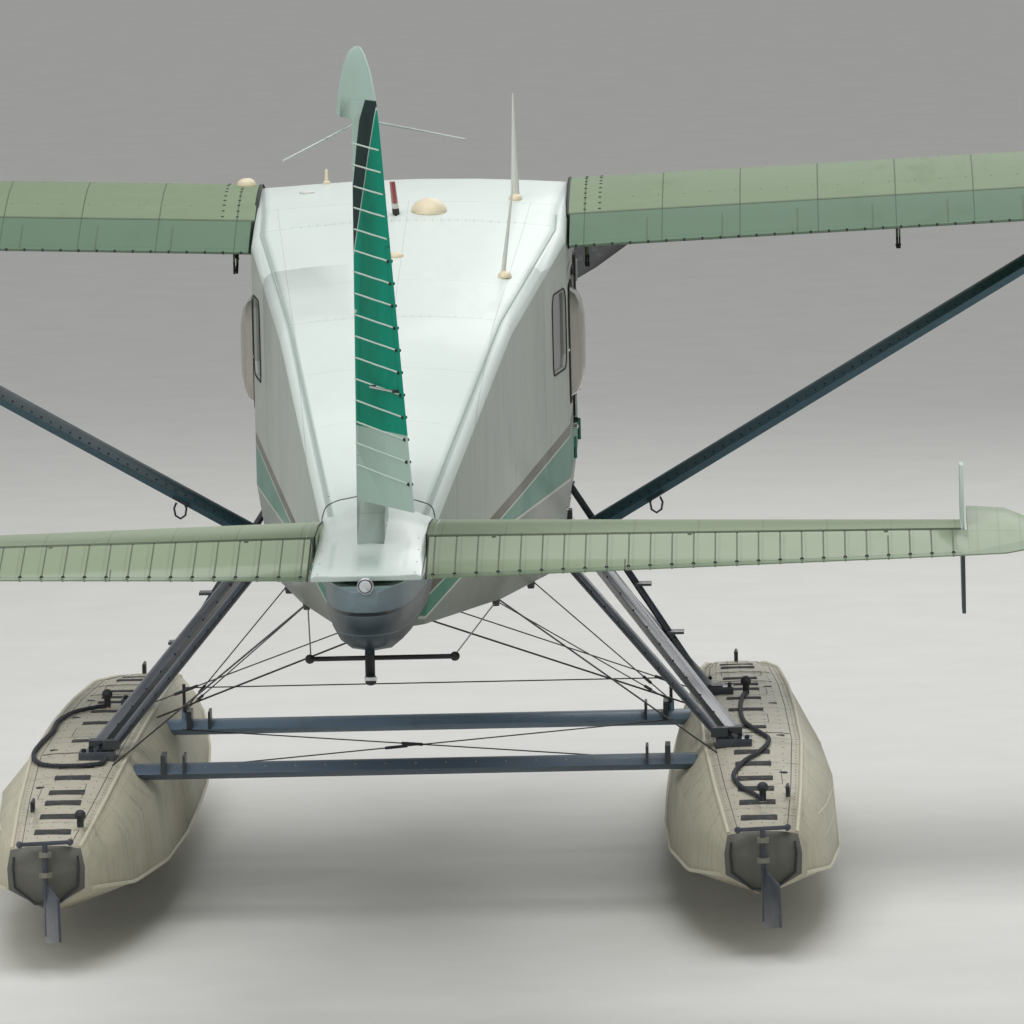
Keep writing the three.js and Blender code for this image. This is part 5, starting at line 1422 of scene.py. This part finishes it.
def nose_parts(ending, side):
    slots = [[(x, z) for z in spaced(-0.10, 0.06, 0.04)] for x in spaced(11.46, 11.86, 0.08)]
    louvres = [raised(beside("cowling", slot, side), 0.002) for slot in slots]
    tubes(f"cowl_louvres_{ending}", louvres, 0.008, "body")
    split = [(x, -0.20) for x in spaced(10.95, 12.55, 0.08)]
    studs(f"cowl_fasteners_{ending}", beside("cowling", split, side), 0.009, 0.003, "bolt")
    ring = [(x, z) for x in (11.30, 12.36) for z in spaced(-0.16, 0.24, 0.08)]
    studs(f"cowl_ring_fasteners_{ending}", beside("cowling", ring, side), 0.008, 0.003, "bolt")
    seam = raised(beside("cowling", [(x, 0.045) for x in spaced(10.9, 12.6, 0.1)], side), -0.001)
    tubes(f"cowl_seam_{ending}", [seam], 0.0025, "dark_trim", sides=6)


def nose_top_parts():
    top = over("cowling", [(x, y) for y in (-0.30, 0.30) for x in spaced(11.0, 11.9, 0.09)])
    studs("cowl_top_fasteners", top, 0.008, 0.003, "bolt")
    sill = over(["windscreen_frame", "cowling"], [(10.86, y) for y in spaced(-0.58, 0.58, 0.07)])
    studs("windscreen_sill_screws", sill, 0.006, 0.003, "bolt")
    for k in range(BLADES):
        angle = 2 * math.pi * (k + 0.5) / BLADES
        out = Vector((0, math.sin(angle), math.cos(angle)))
        root = (at(12.99, 0, 0.143) + out * BLADE_ROOT, out)
        studs(f"blade_root_{k}", [root], 0.052, 0.03, "chrome", "propeller", 0.85)


# Instrument panel
PANEL_FACE = 10.298
DIAL_COLUMNS = (-0.52, -0.40, -0.28, 0.28, 0.40, 0.52)
DIAL_ROWS = (0.24, 0.36, 0.47)
RADIO_ROWS = (0.16, 0.22, 0.28, 0.34, 0.40)
# columns: distance to port, height, both from the yoke's hub
YOKE = [(-0.15, 0.13), (-0.165, 0.05), (-0.12, -0.03), (0, -0.01), (0.12, -0.03), (0.165, 0.05),
        (0.15, 0.13)]


def panel_parts():
    dials = [(at(PANEL_FACE, y, z), AFT) for y in DIAL_COLUMNS for z in DIAL_ROWS]
    studs("panel_dial_rims", dials, 0.047, 0.010, "bolt", crown=0.92)
    faces = [(point + AFT * 0.004, aim) for point, aim in dials]
    studs("panel_dials", faces, 0.041, 0.008, "rubber", crown=0.95)
    radios = [(at(10.30, 0, z), (0.03, 0.17, 0.045), (0, 0, 0)) for z in RADIO_ROWS]
    blocks("panel_radios", radios, "dark_trim")
    knobs = [(at(10.285, y, z), AFT) for y in (-0.07, 0.07) for z in RADIO_ROWS]
    studs("panel_knobs", knobs, 0.010, 0.016, "pale_trim")


def control_yoke(ending, side):
    hub = at(9.955, side * 0.42, 0.262)
    wheel = smooth_route([hub + Vector((0, y, z)) for y, z in YOKE], 6)
    tubes(f"control_yoke_{ending}", [wheel], 0.013, "rubber", sides=10)
    turned(f"control_yoke_hub_{ending}", hub - Vector((0.012, 0, 0.005)),
           [(0.034, 0), (0.036, 0.02), (0.028, 0.03)], "dark_trim", AFT)


roof_parts()
on_both_sides(side_parts)
right_side_parts()
on_both_sides(nose_parts)
nose_top_parts()
panel_parts()
on_both_sides(control_yoke)


# Seats: filled cushions on frames
# columns: middle station, distance to port, width, height of the back
CREW_PLACES = [(9.56, y, 0.48, 0.62) for y in (0.42, -0.42)]
CABIN_PLACES = [(x, y, 0.44, 0.56) for x in (8.76, 7.90) for y in (0.43, -0.43)]
SEAT_TOP = -0.10
SEAT_PAD = 0.11
SEAT_DEPTH = 0.44
BACK_PAD = 0.10
BACK_LEAN = 0.155
FLOOR_TOP = -0.48
LEG_SPREAD = (0.13, 0.10)

# Filling: the size of a cell, the cap on a point's move, what the rim draws in, what the pad swells,
# and the pressure and frames of the cloth step
PAD_VOXEL = 0.012
PAD_MOVE = 0.010
PAD_RIM_LOSS = 0.024
PAD_SWELL = 0.007
PAD_PRESSURE = 4.0
PAD_FRAMES = 20
# how far a pad's sides are pulled in between its corners, as a share of its half size
PAD_WAIST = 0.035
PAD_MESHES = {}


def waisted(long, wide, u, v):
    """A point of a pad's outline or inside it, with the sides pulled in between the corners."""
    return long / 2 * u * (1 - PAD_WAIST * (1 - v * v)), wide / 2 * v * (1 - PAD_WAIST * (1 - u * u))


def sewn_mesh(long, wide, thick, channels=4, cells=22):
    """A crowned pad about the origin: sides pulled in between the corners, and sewn channels along it."""
    shape = bmesh.new()
    spots = {}
    for face in (1, -1):
        for i in range(cells + 1):
            for j in range(cells + 1):
                u, v = 2 * i / cells - 1, 2 * j / cells - 1
                if face < 0 and (i in (0, cells) or j in (0, cells)):
                    spots[face, i, j] = spots[1, i, j]
                    continue
                crown = ((1 - abs(u) ** 5) * (1 - abs(v) ** 5)) ** 0.38
                sewn = abs(math.sin(math.pi * channels * (v + 1) / 2)) ** 0.4
                height = thick / 2 * crown * (0.82 + 0.18 * sewn) * (1.0 if face > 0 else 0.7)
                spots[face, i, j] = shape.verts.new((*waisted(long, wide, u, v), face * height))
    for face in (1, -1):
        for i in range(cells):
            for j in range(cells):
                ring = [spots[face, i + di, j + dj] for di, dj in ((0, 0), (1, 0), (1, 1), (0, 1))]
                shape.faces.new(ring if face > 0 else ring[::-1])
    return mesh_of(shape, "pad")


def filled(mesh):
    """The pad as a cloth bag under pressure, with a cap on how far a point moves."""
    holder = link(bpy.data.objects.new("pad_to_fill", mesh))
    remesh = holder.modifiers.new("even", "REMESH")
    remesh.mode = "VOXEL"
    remesh.voxel_size = PAD_VOXEL
    even = as_shown(holder)
    holder.modifiers.clear()
    holder.data = even
    cloth = holder.modifiers.new("cloth", "CLOTH")
    cloth.settings.use_pressure = True
    cloth.settings.uniform_pressure_force = PAD_PRESSURE
    cloth.settings.effector_weights.gravity = 0.0
    cloth.point_cache.frame_end = PAD_FRAMES
    for step in range(1, PAD_FRAMES + 1):
        bpy.context.scene.frame_set(step)
    swollen = as_shown(holder)
    holder.modifiers.clear()
    for point, start in zip(swollen.vertices, even.vertices):
        move = point.co - start.co
        if move.length > PAD_MOVE:
            point.co = start.co + move.normalized() * PAD_MOVE
    holder.data = swollen
    smoother = holder.modifiers.new("smoother", "SUBSURF")
    smoother.levels = smoother.render_levels = 1
    finished = as_shown(holder)
    holder.modifiers.clear()
    bpy.data.objects.remove(holder)
    bpy.context.scene.frame_set(1)
    return finished


def pad_mesh(*size):
    """One mesh for each size of pad. It starts wider and thinner, because filling draws it in."""
    if size not in PAD_MESHES:
        long, wide, thick = size
        sewn = sewn_mesh(long + PAD_RIM_LOSS, wide + PAD_RIM_LOSS, thick - PAD_SWELL)
        PAD_MESHES[size] = filled(sewn)
    return PAD_MESHES[size].copy()


def cushion(name, place, long, wide, thick, lean=0.0):
    """A filled pad at its place, with a welt round its edge."""
    turn = Matrix.Rotation(lean, 4, "Y")
    mesh = pad_mesh(long, wide, thick)
    mesh.transform(Matrix.Translation(place) @ turn)
    mesh.materials.append(PAINT["seat"])
    piece = added(name, mesh, "airframe", 80)
    edge = [(-1, -1), (-1, 1), (1, 1), (1, -1)]
    rim_path = []
    for (u0, v0), (u1, v1) in zip(edge, edge[1:] + edge[:1]):
        for k in range(8):
            u, v = u0 + (u1 - u0) * k / 8, v0 + (v1 - v0) * k / 8
            rim_path.append(place + turn @ Vector((*waisted(long, wide, u, v), 0)))
    tubes(f"{name}_welt", [[*rim_path, rim_path[0]]], 0.006, "rubber")


def seat_row(node, places):
    legs, pans = [], []
    under = SEAT_TOP - SEAT_PAD
    for k, (x, y, width, back) in enumerate(places):
        middle = at(x, y, SEAT_TOP - SEAT_PAD / 2)
        cushion(f"{node}_pad_{k}", middle, SEAT_DEPTH - 0.02, width - 0.02, SEAT_PAD)
        tall = back + 0.02
        middle = at(x - SEAT_DEPTH / 2 - 0.005, y, SEAT_TOP + tall / 2 - 0.02)
        cushion(f"{node}_back_{k}", middle, tall, width - 0.03, BACK_PAD, -math.pi / 2 - BACK_LEAN)
        pans.append((at(x - 0.01, y, under - 0.006), (SEAT_DEPTH - 0.06, width - 0.06, 0.018), (0, 0, 0)))
        half_long, half_wide = LEG_SPREAD
        for p in (x - half_long, x + half_long):
            pair = (y - half_wide, y + half_wide)
            legs.extend([at(p, q, FLOOR_TOP + 0.004), at(p, q, under - 0.004)] for q in pair)
            legs.append([at(p, q, FLOOR_TOP + 0.016) for q in pair])
    frame_piece = tubes(f"{node}_legs", legs, 0.012, "bolt", slot="seat_cloth")
    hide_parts(node)
    blocks(f"{node}_pans", pans, "dark_trim")


seat_row("crew_seats", CREW_PLACES)
seat_row("cabin_seats", CABIN_PLACES)


# Floats
DECK_PADS = [10.86, 10.48, 9.78, 9.42, 9.16, 8.68, 8.12, 7.38, 6.55, 6.24, 5.86, 5.60, 5.28, 4.92]
DECK_PAD_SIZE = (0.11, 0.19, 0.0035)
# columns: station, outer and inner end from the middle line
DECK_BARS = {
    "left": [(6.89, -0.20, 0.10), (10.18, -0.16, 0.14), (9.60, -0.16, 0.14)],
    "right": [(7.14, -0.20, 0.10), (10.18, -0.16, 0.14), (9.60, -0.16, 0.14)],
}
# columns: station, length, outer and inner edge from the middle line
HATCHES = [(7.60, 0.34, -0.10, 0.13), (8.90, 0.34, -0.12, 0.12), (5.72, 0.36, -0.13, 0.10),
           (9.98, 0.26, -0.11, 0.11)]
# columns: station, distance inboard of the middle line
BILGE_CAPS = [(6.02, -0.14), (7.05, -0.15), (8.42, -0.14), (9.30, -0.13)]
# columns: station, distance out from the middle line
BOW = [(13.17, -0.075), (13.26, -0.055), (13.312, 0), (13.26, 0.055), (13.17, 0.075)]
# columns: distance to port of the middle line, height over the keels
TRANSOM = [(-0.165, 0.600), (-0.172, 0.540), (-0.165, 0.440), (-0.06, 0.352), (0.06, 0.352),
           (0.165, 0.440), (0.172, 0.540), (0.165, 0.600)]
HULL_LAPS = (0.50, 0.62)


def deck_slope(x, step=0.05):
    """How steeply a deck rises forward along its middle line, as an angle."""
    rise = deck_top(x + step, float_middle(x)) - deck_top(x - step, float_middle(x))
    return math.atan(rise / (2 * step))


def on_deck(x, inward, side, lift=0.0):
    """A point on a deck at a station and a distance inboard of the float's middle line."""
    y = side * (float_middle(x) - inward)
    return at(x, y, deck_top(x, y) + lift)


def deck_line(stations_and_inwards, side, lift):
    """Points on a deck at stations and distances inboard."""
    return [on_deck(x, inward, side, lift) for x, inward in stations_and_inwards]


def deck_parts(ending, side):
    pads = [(on_deck(x, 0.012, side, 0.0002), DECK_PAD_SIZE, (0, -math.degrees(deck_slope(x)), 0))
            for x in DECK_PADS]
    blocks(f"deck_pads_{ending}", pads, "non_skid")
    bars = [deck_line([(x, y) for y in spaced(low, high, 0.05)], side, -0.0005)
            for x, low, high in DECK_BARS[ending]]
    tubes(f"deck_bars_{ending}", bars, 0.004, "rubber", sides=6)
    seams = []
    for x in spaced(5.0, 11.4, 0.64):
        reach = between(FLOAT, 2, x) - 0.02
        seams.append(deck_line([(x, y) for y in spaced(-reach, reach, 0.05)], side, -0.0015))
    tubes(f"deck_seams_{ending}", seams, 0.0025, "deck_line", sides=6)
    hatches = []
    for x, long, low, high in HATCHES:
        corners = [(x, low), (x + long, low), (x + long, high), (x, high), (x, low)]
        hatches.append(dense(deck_line(corners, side, -0.0012), 0.06))
    tubes(f"deck_hatches_{ending}", hatches, 0.0028, "deck_line", sides=6)
    heads = [(on_deck(x, inward * between(FLOAT, 2, x) / 0.2, side), UP)
             for x in spaced(4.8, 11.6, 0.17) for inward in (-0.12, -0.06, 0.0, 0.06, 0.12)]
    studs(f"deck_screws_{ending}", heads, 0.0055, 0.0022, "deck_line")
    caps = [(on_deck(x, inward, side), UP) for x, inward in BILGE_CAPS]
    studs(f"bilge_caps_{ending}", caps, 0.026, 0.0034, "rubber", crown=0.85)


def hull_parts(ending, side):
    edges, lines, chines, heads = [], [], [], []
    for way in (1, -1):
        edge = [(x, way * (between(FLOAT, 2, x) - 0.006)) for x in spaced(4.63, 13.22, 0.14)]
        edges.append(deck_line(edge, side, 0.001))
        inner = [(x, inward - way * 0.052) for x, inward in edge if abs(inward) > 0.09]
        lines.append(deck_line(inner, side, -0.0005))
        chine = []
        for x in spaced(4.75, 13.1, 0.15):
            out = float_middle(x) - way * (between(FLOAT, 4, x) + 0.001)
            chine.append(at(x, side * out, between(FLOAT, 3, x) - KEEL_DEPTH))
        chines.append(chine)
        heads.extend((on_deck(x, way * (between(FLOAT, 2, x) - 0.034), side), UP)
                     for x in spaced(4.7, 12.4, 0.075))
    tubes(f"gunwale_{ending}", edges, 0.011, "cream_rail", sides=10)
    tubes(f"gunwale_line_{ending}", lines, 0.0025, "deck_line", sides=6)
    tubes(f"chine_strip_{ending}", chines, 0.010, "cream_rail")
    studs(f"gunwale_rivets_{ending}", heads, 0.0045, 0.002, "deck_line")
    bow = [at(x, side * (float_middle(13.28) + y), 0.565 - KEEL_DEPTH) for x, y in BOW]
    tubes(f"bow_bumper_{ending}", [smooth_route(bow, 5)], 0.042, "rubber", sides=14)
    laps = []
    for height in HULL_LAPS:
        route = [(x, height - KEEL_DEPTH) for x in spaced(5.6, 11.6, 0.2)]
        laps.append(raised(beside(f"float_{ending}", route, side), 0.0))
    tubes(f"hull_laps_{ending}", laps, 0.004, "cream_rail", sides=6)
    edge = [at(FLOAT_STERN - 0.002, side * FLOAT_STERN_Y + y, z - KEEL_DEPTH) for y, z in TRANSOM]
    tubes(f"transom_rim_{ending}", [dense(edge, 0.04)], 0.006, "dark_trim")


FRONT_FRAME = 9.0
REAR_FRAME = 6.8
SPREADER_Z = 0.78 - KEEL_DEPTH
# columns: name, top, foot
GEAR_STRUTS = [
    ("float_strut_front", (9.240, 0.700, -0.520), (8.995, 1.620, -1.560)),
    ("float_struts_rear", (6.905, 0.663, -0.380), (6.790, 1.663, -1.560)),
    ("float_struts_rear", (8.720, 0.726, -0.440), (6.745, 1.740, -1.560)),
]
# columns: place along a strut, width of its clamp
STRUT_CLAMPS = [(0.05, 0.10), (0.955, 0.09)]
# columns: distance inboard of a spreader's end, size of the clamp
SPREADER_CLAMPS = [(0.05, (0.225, 0.028, 0.098)), (0.16, (0.222, 0.014, 0.094))]


def gear_parts(ending, side):
    plate = [(x, side * y) for x in (6.715, 6.765) for y in (1.625, 1.675, 1.725, 1.765)]
    bolts = over(f"float_struts_rear_{ending}", plate)
    studs(f"foot_plate_bolts_{ending}", bolts, 0.013, 0.014, "rubber", crown=0.85)
    foot = [(x, side * y) for x in (8.945, 9.045) for y in (1.55, 1.66)]
    bolts = over(f"float_strut_front_{ending}", foot)
    studs(f"ladder_foot_bolts_{ending}", bolts, 0.012, 0.012, "rubber", crown=0.85)
    heads, clamps = [], []
    for name, top, low in GEAR_STRUTS:
        for share in spaced(0.08, 0.92, 0.07):
            x, y, z = part_way(top, low, share)
            heads.extend(hits(f"{name}_{ending}", [at(x - 1.2, side * y, z)], -AFT))
        for share, wide in STRUT_CLAMPS:
            x, y, z = part_way(top, low, share)
            clamps.append((at(x, side * y, z), (0.15, wide, 0.05), (0, 0, 0)))
    studs(f"gear_strut_rivets_{ending}", heads, 0.0075, 0.005, "rubber")
    for x, reach in ((FRONT_FRAME, 0.385), (REAR_FRAME, 0.405)):
        inner = float_middle(x) - reach
        clamps.extend((at(x, side * (inner - inboard), SPREADER_Z), size, (0, 0, 0))
                      for inboard, size in SPREADER_CLAMPS)
    blocks(f"gear_clamps_{ending}", clamps, "dark_trim", slope=0.96)


def spreader_rivets():
    for x, node in ((FRONT_FRAME, "spreader_front"), (REAR_FRAME, "spreader_rear")):
        spots = over(node, [(x - 0.05, y) for y in spaced(-1.28, 1.28, 0.16)])
        studs(f"{node}_rivets", spots, 0.006, 0.004, "bolt")


POST_OUT = 1.337


def mirrored(start, end):
    """The stay and its like on the other side."""
    return [[(x, side * y, z) for x, y, z in (start, end)] for side in (1, -1)]


STAYS = [
    *mirrored((6.5, 0.66, -0.64), (FRONT_FRAME, POST_OUT, -1.545)),
    *mirrored((5.1, 0.50, -0.60), (FRONT_FRAME, POST_OUT, -1.55)),
    *mirrored((9.0, 0.76, -0.695), (8.85, -1.55, -1.50)),
    [(BAR_AT, 0.285, BAR_HEIGHT), (5.1, 0.485, -0.605)],
    [(BAR_AT, -0.405, BAR_HEIGHT), (5.1, -0.485, -0.605)],
    *mirrored((8.92, 1.37, -1.64), (6.88, -1.37, -1.64)),
    [(FRONT_FRAME, 1.33, -1.42), (FRONT_FRAME, -1.33, -1.42)],
]
# columns: stay, place along it
TURNBUCKLES = [(0, 0.82), (1, 0.82), (2, 0.86), (3, 0.86), (4, 0.9), (5, 0.9), (8, 0.48), (9, 0.55)]
TURNBUCKLE_HALF = 0.07
BELLY = ["cabin_belly", "rear_fuselage"]


def rigging():
    paths = [[at(*start), at(*end)] for start, end in STAYS]
    tubes("stay_wires", paths, 0.0035, "steel")
    barrels = []
    for k, share in TURNBUCKLES:
        first, last = paths[k]
        half = (last - first).normalized() * TURNBUCKLE_HALF
        middle = first.lerp(last, share)
        barrels.append([middle - half, middle + half])
    tubes("turnbuckles", barrels, 0.0085, "dark_trim")
    eyes = [(end, (start - end).normalized()) for start, end in paths]
    studs("stay_end_fittings", eyes, 0.014, 0.03, "dark_trim", sunk=0.01)
    fittings = [(x, side * y) for x, y in ((5.1, 0.49), (6.5, 0.64)) for side in (1, -1)]
    spots = hits(BELLY, [at(x, y, -3) for x, y in fittings], UP)
    studs("belly_fittings", spots, 0.024, 0.035, "dark_trim", crown=0.7)
    drains = hits(BELLY, [at(x, y, -3) for x in (3.2, 4.2, 5.6) for y in (-0.12, 0.12)], UP)
    studs("belly_drains", drains, 0.014, 0.02, "chrome", crown=0.7)
    posts = [[at(FRONT_FRAME, side * POST_OUT, z) for z in (-1.56, -1.40)] for side in (1, -1)]
    tubes("spreader_post_tips", posts, 0.009, "dark_trim")


on_both_sides(deck_parts)
on_both_sides(hull_parts)
on_both_sides(gear_parts)
spreader_rivets()
rigging()


# Floor, light and sky
SKY = (0.82, 0.84, 0.84)
SKY_STRENGTH = 0.50
FLOOR_TONE = (0.76, 0.75, 0.72)
FLOOR_HALF = 600
FLOOR_DROP = 0.001
# columns: name, place, aim, power, width
LAMPS = [
    ("overhead_light", (-3, 0, 24), (0, 0, 1), 3400, 22),
    ("key_light", (-22, 12, 17), (0, 0, 2), 1300, 12),
    ("nose_light", (22, -6, 15), (3, 0, 2), 900, 12),
]


def make_stage():
    mesh = bpy.data.meshes.new("floor")
    corners = [(a * FLOOR_HALF, b * FLOOR_HALF, 0) for a, b in ((-1, -1), (1, -1), (1, 1), (-1, 1))]
    mesh.from_pydata(corners, [], [(0, 1, 2, 3)])
    mesh.materials.append(painted("floor_paint", FLOOR_TONE, None, 0.7, 0.0, 0.0, 0.0, 0.0))
    floor = link(bpy.data.objects.new("floor", mesh))
    floor.location.z = -FLOOR_DROP
    world = bpy.data.worlds.new("studio")
    bpy.context.scene.world = world
    bpy.context.scene.view_settings.view_transform = "Standard"
    world.use_nodes = True
    background = world.node_tree.nodes["Background"]
    background.inputs[0].default_value = (*SKY, 1)
    background.inputs[1].default_value = SKY_STRENGTH
    for name, place, aim, power, width in LAMPS:
        data = bpy.data.lights.new(name, "AREA")
        data.energy = power
        data.size = width
        lamp = link(bpy.data.objects.new(name, data))
        lamp.location = place
        lamp.rotation_euler = (Vector(aim) - Vector(place)).to_track_quat("-Z", "Y").to_euler()


make_stage()
